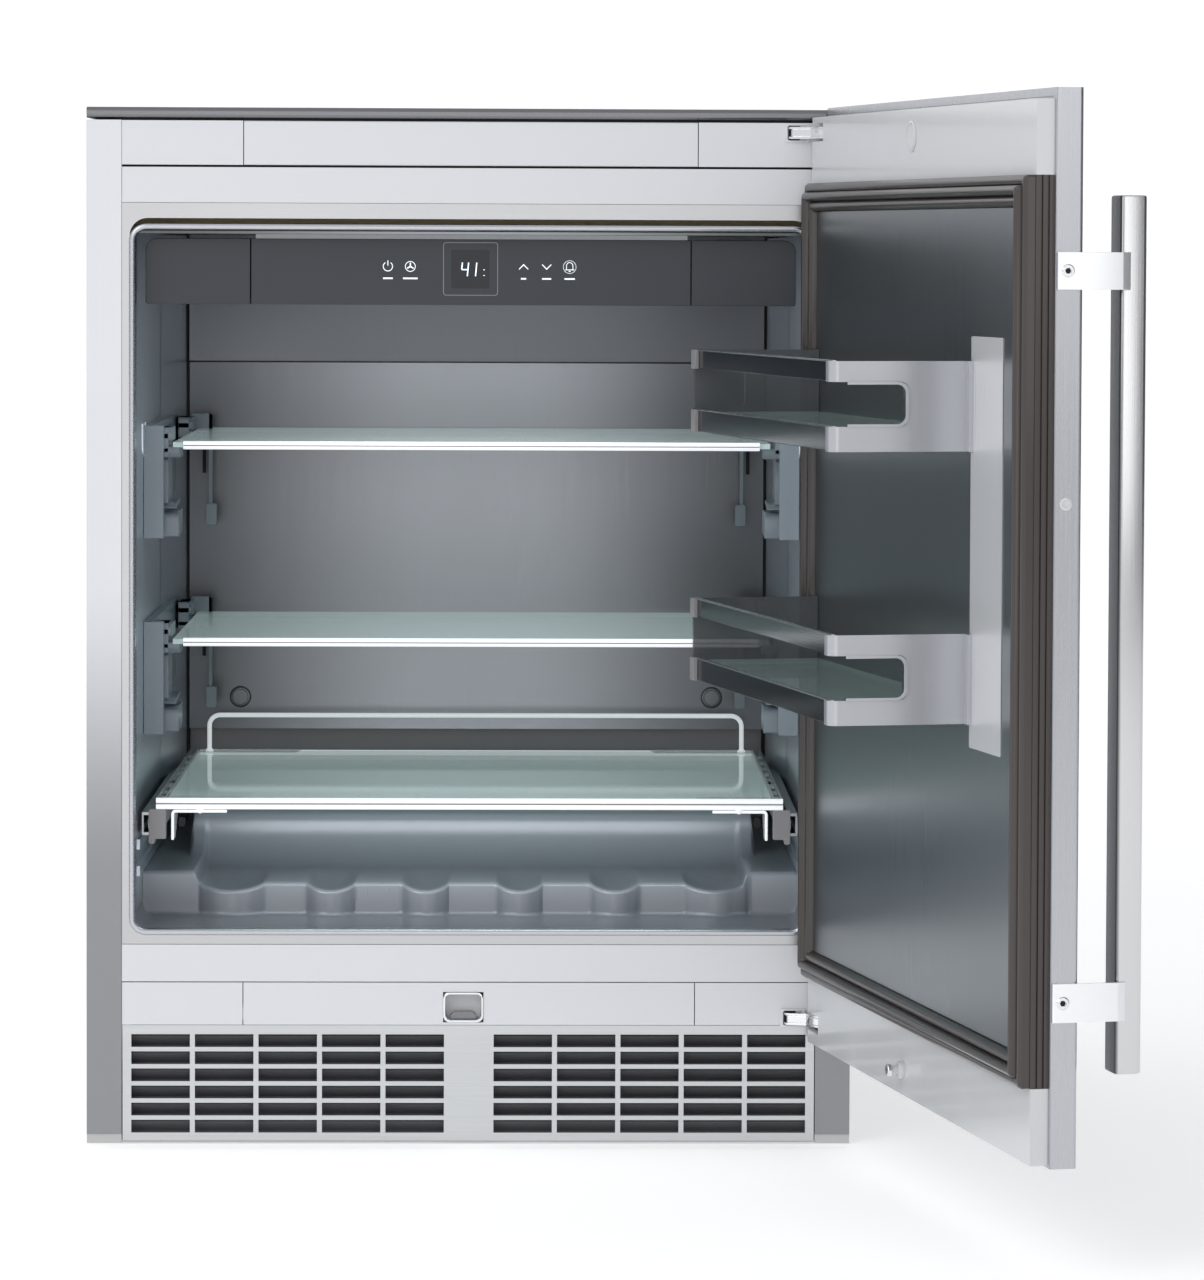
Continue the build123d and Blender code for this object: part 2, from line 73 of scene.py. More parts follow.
# shader helpers
class Wire:
    # a socket that adds Math nodes when it is used in an expression
    def __init__(self, tree, socket):
        self.tree, self.socket = tree, socket

    def math(self, operation, other=0.0, swap=False, clamp=False):
        n = self.tree.nodes.new("ShaderNodeMath")
        n.operation, n.use_clamp = operation, clamp
        for socket, value in zip(n.inputs, (other, self) if swap else (self, other)):
            if isinstance(value, Wire):
                self.tree.links.new(value.socket, socket)
            else:
                socket.default_value = value
        return Wire(self.tree, n.outputs[0])

    def __add__(self, o):
        return self.math("ADD", o)

    __radd__ = __add__

    def __mul__(self, o):
        return self.math("MULTIPLY", o)

    __rmul__ = __mul__

    def __sub__(self, o):
        return self.math("SUBTRACT", o)

    def __rsub__(self, o):
        return self.math("SUBTRACT", o, swap=True)

    def clamped(self):
        return self.math("ADD", 0.0, clamp=True)


class Finish:
    # one material: a Principled shader and whatever feeds it
    def __init__(self, name, **sockets):
        self.material = bpy.data.materials.new(name)
        self.material.use_nodes = True
        self.tree = self.material.node_tree
        self.tree.nodes.clear()
        self.out = self.tree.nodes.new("ShaderNodeOutputMaterial")
        self.shader = self.tree.nodes.new("ShaderNodeBsdfPrincipled")
        self.tree.links.new(self.shader.outputs[0], self.out.inputs[0])
        self.set(**sockets)

    def set(self, **sockets):
        for name, value in sockets.items():
            self.plug(self.shader.inputs[name.replace("_", " ")], value)

    def plug(self, socket, value):
        if isinstance(value, Wire):
            self.tree.links.new(value.socket, socket)
        elif socket.type == "RGBA" and len(value) == 3:
            socket.default_value = (*value, 1)
        else:
            socket.default_value = value

    def node(self, kind, settings=None, output=0, **sockets):
        n = self.tree.nodes.new("ShaderNode" + kind)
        for key, value in (settings or {}).items():
            setattr(n, key, value)
        for key, value in sockets.items():
            # i3 is the fourth input, anything else is an input's label
            numbered = key[0] == "i" and key[1:].isdigit()
            self.plug(n.inputs[int(key[1:]) if numbered else key.replace("_", " ")], value)
        return Wire(self.tree, n.outputs[output])

    def coords(self, scale=(1, 1, 1)):
        return self.node("Mapping", Vector=self.node("TexCoord", output=3), Scale=scale)

    def noise(self, scale, detail=3.0, stretch=(1, 1, 1), rough=0.5):
        return self.node("TexNoise", Vector=self.coords(stretch), Scale=scale, Detail=detail, Roughness=rough)

    def axis(self, letter):
        xyz = self.tree.nodes.new("ShaderNodeSeparateXYZ")
        self.plug(xyz.inputs[0], self.node("TexCoord", output=3))
        return Wire(self.tree, xyz.outputs["xyz".index(letter)])

    def fade(self, value, start, end):
        # 0 before start, 1 after end, smooth between
        smooth = dict(interpolation_type="SMOOTHSTEP")
        return self.node("MapRange", smooth, Value=value, i1=start, i2=end, i3=0.0, i4=1.0)

    def mixColour(self, factor, a, b):
        return self.node("Mix", dict(data_type="RGBA"), output=2, i0=factor, i6=a, i7=b)

    def bump(self, height, strength, distance):
        return self.node("Bump", Strength=strength, Distance=distance, Height=height)


def shade(colour, k):
    # a colour made lighter or darker, never past white
    return tuple(min(1.0, c * k) for c in colour)


def brushed(
    name, colour, rough, grain="x", depth=0.12, metal=1.0, floorShade=None, sheen=None, paintedDoorReflection=None
):
    # fine streaks along one axis, noise stretched 110 times, over broad soft clouds
    # floorShade (low, high, factor) is painted shade: it darkens the front face below a height, for the
    # darker surroundings the lower front reflects
    # sheen (axis, centre, reach, factor) is a painted sheen: lighter along a line, darker away from it
    # the door-side setting (low, high, factor) paints a darker reflection on what lies nearer the door, for
    # the dark door skin:
    # the distance is the outward direction times (point - door corner)
    f = Finish(name, Metallic=metal)
    stretch = {"x": (1, 110, 110), "z": (110, 110, 1), "y": (110, 1, 110)}[grain]
    streak = f.noise(9.0, 4.0, stretch)
    clouds = f.noise(5.0, 2.0)
    tone = f.mixColour(streak, shade(colour, 1 - depth), shade(colour, 1 + depth * 0.6))
    # painted shade: the front face darker below a height
    if floorShade:
        ahead = f.fade(f.axis("y"), frontY + 0.0005, frontY + 0.003)
        lit = (f.fade(f.axis("z"), *floorShade[:2]) + ahead).clamped()
        tone = f.mixColour(lit, shade(colour, floorShade[2]), tone)
    # painted sheen: the colour kept light along a line and darkened away from it
    if sheen:
        axis, centre, reach, factor = sheen
        away = f.fade((f.axis(axis) - centre).math("ABSOLUTE"), reach * 0.15, reach)
        tone = f.mixColour(away, tone, shade(colour, factor))
    # painted reflection: the side facing the door darker
    if paintedDoorReflection:
        corner, tip = onDoor((0, 0, 0)), onDoor((0, 1000, 0))
        outX, outY = (tip - corner)[:2]
        offset = float(corner[0] * outX + corner[1] * outY)
        away = f.axis("x") * float(outX) + f.axis("y") * float(outY) - offset
        tone = f.mixColour(f.fade(away, *paintedDoorReflection[:2]), shade(colour, paintedDoorReflection[2]), tone)
    f.set(Base_Color=tone, Roughness=streak * 0.10 + clouds * 0.06 + (rough - 0.08))
    f.set(Normal=f.bump(streak, 0.05, 0.0004))
    return f.material


def plastic(name, colour, rough, grain=0.12, speck=0.05, coat=0.0):
    # moulded plastic: very fine pebble in the bump, faint clouds in the colour
    f = Finish(name, Coat_Weight=coat, Coat_Roughness=0.12)
    clouds = f.noise(14.0, 3.0)
    f.set(Base_Color=f.mixColour(clouds, shade(colour, 1 - speck), shade(colour, 1 + speck)))
    f.set(Roughness=clouds * 0.10 + (rough - 0.05), Normal=f.bump(f.noise(900.0, 2.0), grain, 0.0003))
    return f.material


def enamel(name, colour, rough=0.28, peel=0.05, lit=0.0):
    # sprayed paint: slight orange peel, faint dust in the roughness; lit is painted light, a faint glow that
    # stands in for light reaching the part
    f = Finish(name, Coat_Weight=0.35, Coat_Roughness=0.08, Emission_Strength=lit)
    dust = f.noise(30.0, 5.0, rough=0.7)
    tone = f.mixColour(dust, shade(colour, 0.975), colour)
    f.set(Base_Color=tone, Emission_Color=tone)
    f.set(Roughness=dust * 0.12 + (rough - 0.06), Normal=f.bump(f.noise(260.0, 2.0), peel, 0.0004))
    return f.material


def chrome(name, colour=(0.86, 0.87, 0.89), rough=0.06):
    # plated metal with faint smears in the gloss
    f = Finish(name, Metallic=1.0)
    smear = f.noise(40.0, 4.0, rough=0.65)
    f.set(Base_Color=f.mixColour(smear, shade(colour, 0.93), colour), Roughness=smear * 0.08 + rough)
    return f.material


def clear(name, tint, alpha, rough=0.03, lit=0.0):
    # glass or clear plastic that lets light straight through, with faint wipe marks; lit is painted light, a
    # faint glow that stands in for light reaching it
    f = Finish(name, IOR=1.46, Specular_IOR_Level=0.6, Emission_Strength=lit)
    wipe = f.noise(18.0, 4.0, rough=0.6)
    tone = f.mixColour(wipe, shade(tint, 0.94), tint)
    f.set(Base_Color=tone, Emission_Color=tone)
    f.set(Roughness=wipe * 0.05 + rough, Alpha=wipe * 0.05 + alpha)
    return f.material


def glow(name, colour, strength):
    # a lit mark: pale print that shines a little, uneven by a few percent
    f = Finish(name, Emission_Strength=strength, Roughness=0.5)
    tone = f.mixColour(f.noise(200.0), shade(colour, 0.9), colour)
    f.set(Base_Color=tone, Emission_Color=tone)
    return f.material


# every finish of the appliance: name, colour, roughness and what else its maker takes
finishes = dict(
    paint=enamel("warm_white_enamel", (0.69, 0.70, 0.73), 0.20),
    recess=plastic("recess_brown_grey", (0.25, 0.23, 0.23), 0.45, 0.05),
    # painted shade: the leg fronts darker towards the floor
    legPaint=brushed("leg_satin_steel", (0.64, 0.65, 0.68), 0.34, "z", 0.03, floorShade=(0.20, 0.46, 0.43)),
    liner=brushed("liner_brushed_steel", (0.72, 0.77, 0.83), 0.32, "z", 0.06),
    linerTop=brushed("cover_brushed_steel", (0.125, 0.13, 0.14), 0.30, "z", 0.07),
    # painted reflection: the back lighter in the middle and darker towards the sides
    linerBack=brushed(
        "back_brushed_steel", (0.275, 0.285, 0.305), 0.30, "z", 0.07, sheen=("x", 0.0, 0.24, 0.42)
    ),
    # painted light and shade: the hump lighter, heights away from it darker
    tray=brushed(
        "floor_satin_grey", (0.47, 0.50, 0.55), 0.30, "z", 0.012, metal=0.2, sheen=("z", 0.27, 0.10, 0.42)
    ),
    band=brushed("front_band_steel", (0.52, 0.52, 0.53), 0.30, "x", 0.06),
    lip=brushed("rolled_lip_steel", (0.52, 0.53, 0.565), 0.27, "x", 0.01),
    grille=brushed("grille_steel", (0.58, 0.59, 0.60), 0.30, "x", 0.10),
    doorSkin=brushed("door_skin_steel", (0.50, 0.51, 0.54), 0.28, "z", 0.05),
    doorLiner=brushed("door_liner_steel", (0.31, 0.335, 0.35), 0.30, "z", 0.012),
    # painted reflection: the grip's face towards the door darker
    handle=brushed("handle_steel", (0.62, 0.62, 0.63), 0.26, "z", 0.06, paintedDoorReflection=(0.0592, 0.0616, 0.24)),
    bracket=brushed("bracket_steel", (0.88, 0.89, 0.91), 0.32, "x", 0.03),
    topEdge=brushed("top_edge_steel", (0.20, 0.20, 0.21), 0.20, "x", 0.10),
    galvanised=brushed("galvanised_sheet", (0.50, 0.51, 0.52), 0.45, "x", 0.12),
    chrome=chrome("chrome"),
    darkRail=brushed("dark_rail_steel", (0.14, 0.145, 0.155), 0.14, "y", 0.10),
    paleSteel=brushed("pale_satin_steel", (0.66, 0.67, 0.69), 0.30, "z", 0.03, metal=0.35),
    brightSteel=chrome("bright_steel", (0.78, 0.79, 0.81), 0.14),
    # painted light: a glow that lifts the white rails inside the compartment
    whiteRail=enamel("white_rail", (0.86, 0.88, 0.90), 0.15, 0.02, lit=0.42),
    zinc=chrome("zinc_plate", (0.50, 0.51, 0.53), 0.26),
    slate=plastic("slate_panel", (0.024, 0.029, 0.038), 0.40, 0.05, 0.04, coat=0.06),
    window=plastic("display_black", (0.010, 0.012, 0.018), 0.42, 0.0, 0.04, coat=0.04),
    rimGrey=plastic("rim_pale_grey", (0.22, 0.22, 0.23), 0.30, 0.05),
    icons=glow("pale_print", (0.85, 0.90, 0.95), 0.45),
    digits=glow("lit_digits", (0.80, 0.90, 1.0), 0.9),
    led=glow("led_lens", (0.60, 0.62, 0.64), 0.35),
    supportGrey=plastic("support_blue_grey", (0.21, 0.247, 0.278), 0.30, 0.06, coat=0.2),
    keeperGrey=plastic("keeper_pale_grey", (0.48, 0.48, 0.49), 0.4, 0.06),
    capGrey=plastic("cap_warm_grey", (0.25, 0.245, 0.25), 0.42, 0.10),
    gap=plastic("shadow_gap", (0.006, 0.006, 0.007), 0.8, 0.1),
    doorWhite=enamel("door_white", (0.60, 0.61, 0.63), 0.24),
    footGrey=plastic("foot_light_grey", (0.50, 0.50, 0.50), 0.40, 0.08),
    black=plastic("black_moulding", (0.016, 0.016, 0.018), 0.42, 0.15),
    finBlade=plastic("blade_grey", (0.10, 0.10, 0.105), 0.40, 0.08),
    foam=plastic("rigid_foam", (0.72, 0.62, 0.38), 0.85, 0.5, 0.10),
    canBlack=enamel("can_black", (0.018, 0.018, 0.020), 0.30),
    fins=brushed("fin_aluminium", (0.70, 0.71, 0.73), 0.38, "z", 0.08),
    rubber=plastic("seal_brown", (0.040, 0.031, 0.029), 0.30, 0.08, 0.06, coat=0.3),
    rackPlastic=brushed("rack_satin_grey", (0.47, 0.48, 0.51), 0.24, "z", 0.02, metal=0.55),
    # painted light: a faint glow that lifts the shelf glass
    shelfGlass=clear("shelf_glass", (0.62, 0.76, 0.75), 0.60, lit=0.15),
    rackGlass=clear("rack_glass", (0.42, 0.54, 0.53), 0.60),
    clearPlastic=clear("clear_plastic", (0.62, 0.66, 0.68), 0.45, 0.06),
    smoked=clear("smoked_plastic", (0.10, 0.105, 0.115), 0.72, 0.12),
)

# which finish each carried-over node gets
nodeFinish = dict(
    paint="upper_fascia crossbars lower_fascia fascia_ends",
    legPaint="side_panel_left side_panel_right",
    liner="liner_side_left liner_side_right",
    linerBack="liner_back back_panel",
    linerTop="fan_cover",
    grille="grille",
    doorSkin="door_skin",
    doorLiner="door_inner_panel",
    topEdge="top_panel",
    galvanised="rear_panel base_plate",
    chrome="lower_shelf_trim upper_shelf_trim",
    brightSteel="hinge_pins",
    zinc="slide_fixed slide_middle",
    doorWhite="door_frame",
    led="led_strip",
    footGrey="foot_rails drip_tray door_foam",
    black="evaporator_fan evaporator_fan_frame condenser_fan condenser_fan_frame power_inlet",
    finBlade="grille_fins",
    foam="foam_shell",
    canBlack="compressor",
    fins="evaporator condenser",
    shelfGlass="lower_shelf_glass upper_shelf_glass pullout_glass",
    rackGlass="rack_glass",
)
for finishName, names in nodeFinish.items():
    for nodeName in names.split():
        data = nodes[nodeName].data
        data.materials.clear()
        data.materials.append(finishes[finishName])
print("finishes on the carried-over nodes")


# mesh helpers: each shape is (points, faces) in mm
def gridFaces(rows, cols, closeRows=False, closeCols=False):
    # one quad for each cell of a grid, wrapping round where it is closed
    i = np.arange(rows if closeRows else rows - 1)
    j = np.arange(cols if closeCols else cols - 1)
    a, b = np.meshgrid(i, j, indexing="ij")
    a2, b2 = (a + 1) % rows, (b + 1) % cols
    return np.stack([a * cols + b, a * cols + b2, a2 * cols + b2, a2 * cols + b], -1).reshape(-1, 4).tolist()


def outward(points, faces):
    # the volume under the faces, summed as fans of triangles, is negative when they point inwards
    points = np.asarray(points, float).reshape(-1, 3)
    fans = np.array([(f[0], f[k], f[k + 1]) for f in faces for k in range(1, len(f) - 1)])
    a, b, c = (points[fans[:, k]] for k in range(3))
    if np.einsum("ij,ij->i", a, np.cross(b, c)).sum() < 0:
        faces = [f[::-1] for f in faces]
    return points, faces


def loft(rings, closed=False):
    # rings of equal length, joined one to the next; ends capped, or the last joined to the first
    rings = np.asarray(rings, float)
    rows, cols = rings.shape[:2]
    faces = gridFaces(rows, cols, closed, True)
    if not closed:
        last = (rows - 1) * cols
        faces += [list(range(cols))[::-1], list(range(last, last + cols))]
    return outward(rings, faces)


def ordered(cols, order):
    # columns a, b, c put on the axes that the order names
    return np.stack([cols[order.index(axis)] for axis in "xyz"], -1)


def slab(outline, lo, hi, order="xyz"):
    # a flat outline (a, b), drawn along c from lo to hi
    o = np.asarray(outline, float)
    return loft([ordered((o[:, 0], o[:, 1], np.full(len(o), c)), order) for c in (lo, hi)])


def bar(lo, hi):
    # a box between two opposite corners
    (x0, y0, z0), (x1, y1, z1) = lo, hi
    return slab([(x0, y0), (x1, y0), (x1, y1), (x0, y1)], z0, z1)


def cornered(points, radii, seg=6, closed=True):
    # a polygon or line whose corners are quarter-like arcs; a radius of 0 keeps the corner
    p = np.asarray(points, float)
    radii = np.broadcast_to(radii, len(p))
    out = []
    for k, b in enumerate(p):
        if radii[k] == 0 or (not closed and k in (0, len(p) - 1)):
            out.append(b[None])
            continue
        a, c = p[k - 1], p[(k + 1) % len(p)]
        u, w = (a - b) / np.linalg.norm(a - b), (c - b) / np.linalg.norm(c - b)
        half = math.acos(np.clip(u @ w, -1, 1)) / 2
        centre = b + (u + w) / np.linalg.norm(u + w) * radii[k] / math.sin(half)
        s, e = (b + v * radii[k] / math.tan(half) - centre for v in (u, w))
        span = math.acos(np.clip(s @ e / radii[k] ** 2, -1, 1))
        t = np.linspace(0, 1, seg)[:, None]
        out.append(centre + (np.sin((1 - t) * span) * s + np.sin(t * span) * e) / math.sin(span))
    return np.concatenate(out)


def rectangle(x0, x1, y0, y1, radii=0.0, seg=6):
    # a rectangle's outline with rounded corners
    return cornered([(x0, y0), (x1, y0), (x1, y1), (x0, y1)], radii, seg)


def frameBand(rows, centre, order="xzy"):
    # each row (width, height, corner radius, depth) is a rounded rectangle round the centre
    # the last row joins the first
    rings = []
    for w, h, r, d in rows:
        o = rectangle(-w / 2, w / 2, -h / 2, h / 2, max(r, 0.05), 8) + np.asarray(centre)
        rings.append(ordered((o[:, 0], o[:, 1], np.full(len(o), d)), order))
    return loft(rings, closed=True)


def wire(path, radius, normal, sides=14):
    # circles square to a flat path, standing on its normal; ends capped
    p = np.asarray(path, float)
    t = np.gradient(p, axis=0)
    t /= np.linalg.norm(t, axis=1)[:, None]
    n = np.broadcast_to(np.asarray(normal, float), p.shape)
    up = np.cross(t, n)
    a = np.linspace(0, 2 * math.pi, sides, endpoint=False)[None, :, None]
    return loft(p[:, None] + radius * (np.cos(a) * n[:, None] + np.sin(a) * up[:, None]))


def lathe(profile, centre, order="xyz", sides=28):
    # a profile (radius, along) spun about an axis through the centre
    pr = np.asarray(profile, float)
    a = np.linspace(0, 2 * math.pi, sides, endpoint=False)[None]
    r, c = np.maximum(pr[:, :1], 0.02), np.repeat(pr[:, 1:], sides, 1)
    return loft(ordered((r * np.cos(a), r * np.sin(a), c), order) + np.asarray(centre, float))


def mirrored(shape):
    # x becomes -x, and the faces are turned round so that they still point outwards
    points, faces = shape
    return points * np.array([-1, 1, 1]), [f[::-1] for f in faces]


def both(shapes):
    # the right-hand shapes and their left-hand mirror images
    return list(shapes) + [mirrored(s) for s in shapes]


def put(
    name, shapes, finish, body="cabinet", nodes=(), place=casing, bevel=0.0, segments=2, smooth=40
):
    # joins the shapes into one mesh, shades it, rides it on its body and hides the nodes it stands for
    points, faces, n = [], [], 0
    for p, f in shapes:
        points.append(p)
        faces += [[i + n for i in face] for face in f]
        n += len(p)
    mesh = bpy.data.meshes.new(name)
    mesh.from_pydata(place(np.concatenate(points)).tolist(), [], faces)
    mesh.update()
    mesh.materials.append(finishes[finish])
    mesh.shade_smooth()
    mesh.set_sharp_from_angle(angle=math.radians(smooth))
    obj = bpy.data.objects.new(name, mesh)
    bpy.context.scene.collection.objects.link(obj)
    if bevel:
        m = obj.modifiers.new("edge", "BEVEL")
        m.width, m.segments = bevel / 1000, segments
        m.limit_method, m.angle_limit = "ANGLE", math.radians(32)
    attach(obj, body)
    if nodes:
        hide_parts(*nodes)
    return obj


# front band and the rolled lip round the opening
opening = dict(w=521.0, h=545.5, z=441.25, r=11.0)


def makeFront():
    # each row of a band is (width, height, corner radius, depth)
    w, h, c = opening["w"], opening["h"], (0, opening["z"])
    flat = [(541.8, 578.2, 0.2, 4), (541.8, 578.2, 0.2, 0.2), (w + 9, h + 9, 14, 0.2), (w + 9, h + 9, 14, 4)]
    put("front_band", [frameBand(flat, (0, 445.7))], "band", nodes=["front_frame"])
    # a half-round roll, carried into the opening as a short throat
    t = np.linspace(0, math.pi, 10)
    r = opening["r"]
    roll = [
        (w + 5 + 5 * c0, h + 5 + 5 * c0, r + 2.5 * c0, 0.3 - 2.7 * s0)
        for c0, s0 in zip(np.cos(t), np.sin(t))
    ]
    rows = roll + [(w - 0.6, h - 0.6, r - 3, 9), (w + 10, h + 10, r + 3, 9)]
    put("opening_lip", [frameBand(rows, c)], "lip")


def makeCasingGaps():
    # thin dark strips in the joints between the trims
    strips = [bar((-270.9, 2.5, 798.9), (270.9, 12, 800.3)), bar((-270.9, 3, 762.8), (270.9, 12, 764.2))]
    strips += [bar((-176.7, 2, 764.4), (-176.35, 12, 798.6)), bar((176.35, 2, 764.4), (176.7, 12, 798.6))]
    put("casing_gaps", strips, "gap")


def makeBackDetails():
    # dark joints beside the back panel, the recess under it, the walls' slanted rear corners,
    # an embossed loop on each wall and a wire clip on the back panel
    put("back_gaps", both([bar((248.2, 463, 236), (250.4, 472, 709))]), "gap")
    put("back_recess", [bar((-247.5, 470, 236), (247.5, 474, 284))], "recess")
    wedge = [slab([(261.8, 300), (250.4, 452), (250.4, 474), (261.8, 474)], 204, 710)]
    put("wall_wedges", both(wedge), "liner")
    loop = cornered([(92, 560), (92, 534.5), (122, 534.5), (122, 560)], (0, 11, 11, 0), 8, closed=False)
    loop = np.stack([np.full(len(loop), 261.9), loop[:, 0], loop[:, 1]], -1)
    drop = cornered([(231.6, 640), (231.6, 565.4), (226, 565.4)], (0, 2.5, 0), 5, closed=False)
    drop = np.stack([drop[:, 0], np.full(len(drop), 463.6), drop[:, 1]], -1)
    put("embossed_loops", both([wire(loop, 1.6, (1, 0, 0), 10)]), "liner")
    put("back_clip", [wire(drop, 0.8, (0, 1, 0), 8)], "brightSteel")


# moulded floor with the bottle cradles
tray = dict(
    cradles=((-190.5, 26.0), (-111.5, 19.3), (-35.8, 18.6), (39.2, 18.4), (115.2, 19.5), (196.5, 25.6)),
    dip=9.5, bulge=10.0, half=261.7,  # depth of a scoop, how far a bulge stands out, half the width
    corner=11.0,  # radius along the walls
    floor=168.0, ledge=194.0, block=203.0, hump=234.6, under=164.2,  # heights
    lip=4.4, front=92.0, riseY=196.0, humpY=232.0, back=502.5,  # depths
)


def step(v, a, b):
    # 3t^2 - 2t^3, with t running from 0 at a to 1 at b
    t = np.clip((v - a) / (b - a), 0, 1)
    return t**2 * (3 - 2 * t)


def makeTray():
    # for each x the section runs floor, front face, ledge, rise and hump top; scoops and bulges are arcs in x
    p = tray
    edges = np.array([215, 217, 219, 221, 229, 230.5, 232, 233.5])  # extra columns where the section changes
    xs = np.unique(np.concatenate([np.linspace(-p["half"], p["half"], 260), -edges, edges]))
    arc = np.zeros_like(xs)
    for x, half in p["cradles"]:
        arc = np.maximum(arc, np.clip(1 - ((xs - x) / half) ** 2, 0, 1) ** 0.8)
    ax = np.abs(xs)
    block = step(ax, 216, 221)
    humpTop = p["hump"] + (p["block"] - p["hump"]) * step(ax, 229, 233.5)
    r = p["corner"]
    corner = r - np.sqrt(np.clip(r**2 - np.clip(ax - (p["half"] - r), 0, r) ** 2, 0, r**2))
    top = p["ledge"] + (p["block"] - p["ledge"]) * block
    yFront = p["front"] - p["bulge"] * arc
    zFront = top - p["dip"] * 0.55 * arc
    col = lambda v: np.broadcast_to(np.asarray(v, float), xs.shape)
    rows = [(col(p["lip"]), p["floor"] + corner)]
    rows += [(p["lip"] + (yFront - p["lip"] - 4) * t, p["floor"] + corner) for t in np.linspace(0.1, 1, 8)]
    for a in np.linspace(0, math.pi / 2, 5)[1:]:
        rows.append((
            yFront - 4 + 4 * math.sin(a),
            np.maximum(p["floor"] + corner, p["floor"] + 4 - 4 * math.cos(a)),
        ))
    rows += [
        (yFront + 1.5 * t, p["floor"] + 4 + (zFront - 3.5 - p["floor"] - 4) * t)
        for t in np.linspace(0.2, 1, 6)
    ]
    for a in np.linspace(0, math.pi / 2, 6)[1:]:
        rows.append((yFront + 1.5 + 3.5 * (1 - math.cos(a)), zFront - 3.5 + 3.5 * math.sin(a)))
    for t in np.linspace(0.12, 1, 9):
        y = yFront + 5 + (p["riseY"] - yFront - 5) * t
        rows.append((
            y,
            top - arc * p["dip"] * (0.55 + 0.45 * math.sin(math.pi * t) - 0.55 * t**2) * (1 - t**4),
        ))
    rise = humpTop - top
    for a in np.linspace(0, math.pi / 2, 9)[1:]:
        y = p["riseY"] + (p["humpY"] - p["riseY"]) * math.sin(a)
        rows.append((col(y), top + 0.75 * rise * (1 - math.cos(a))))
    for a in np.linspace(0, math.pi / 2, 7)[1:]:
        rows.append((col(p["humpY"] + 7 * (1 - math.cos(a))), top + rise * (0.80 + 0.20 * math.sin(a))))
    rows += [(col(y), humpTop) for y in (260, 340, 420, p["back"])]
    upper = np.array([np.stack([xs, y, z], -1) for y, z in rows])
    under = upper[::-1].copy()
    under[..., 2] = p["under"]
    rings = np.concatenate([upper, under])
    # the closed section is swept along x, so the two end sections are the caps
    put("bottle_floor", [loft(rings.transpose(1, 0, 2))], "tray", nodes=["liner_floor"], smooth=50)


# control panel: three fascia pieces, display, icons
panel = dict(front=20.0, back=46.0, z=(656.0, 707.4), iconZ=686.0, markZ=676.7)


def stroke(a, b, w):
    # a rectangle of width w along the line from a to b
    a, b = np.asarray(a, float), np.asarray(b, float)
    d = (b - a) / np.linalg.norm(b - a)
    n = np.array([-d[1], d[0]]) * w / 2
    return np.array([a - n, b - n, b + n, a + n])


def arcStroke(x, z, r, w, start, end):
    # the area between two arcs, start and end in degrees
    t = np.radians(np.linspace(start, end, 26))[:, None]
    ring = np.concatenate([np.cos(t), np.sin(t)], 1)
    return np.array([x, z]) + np.concatenate([ring * (r + w / 2), ring[::-1] * (r - w / 2)])


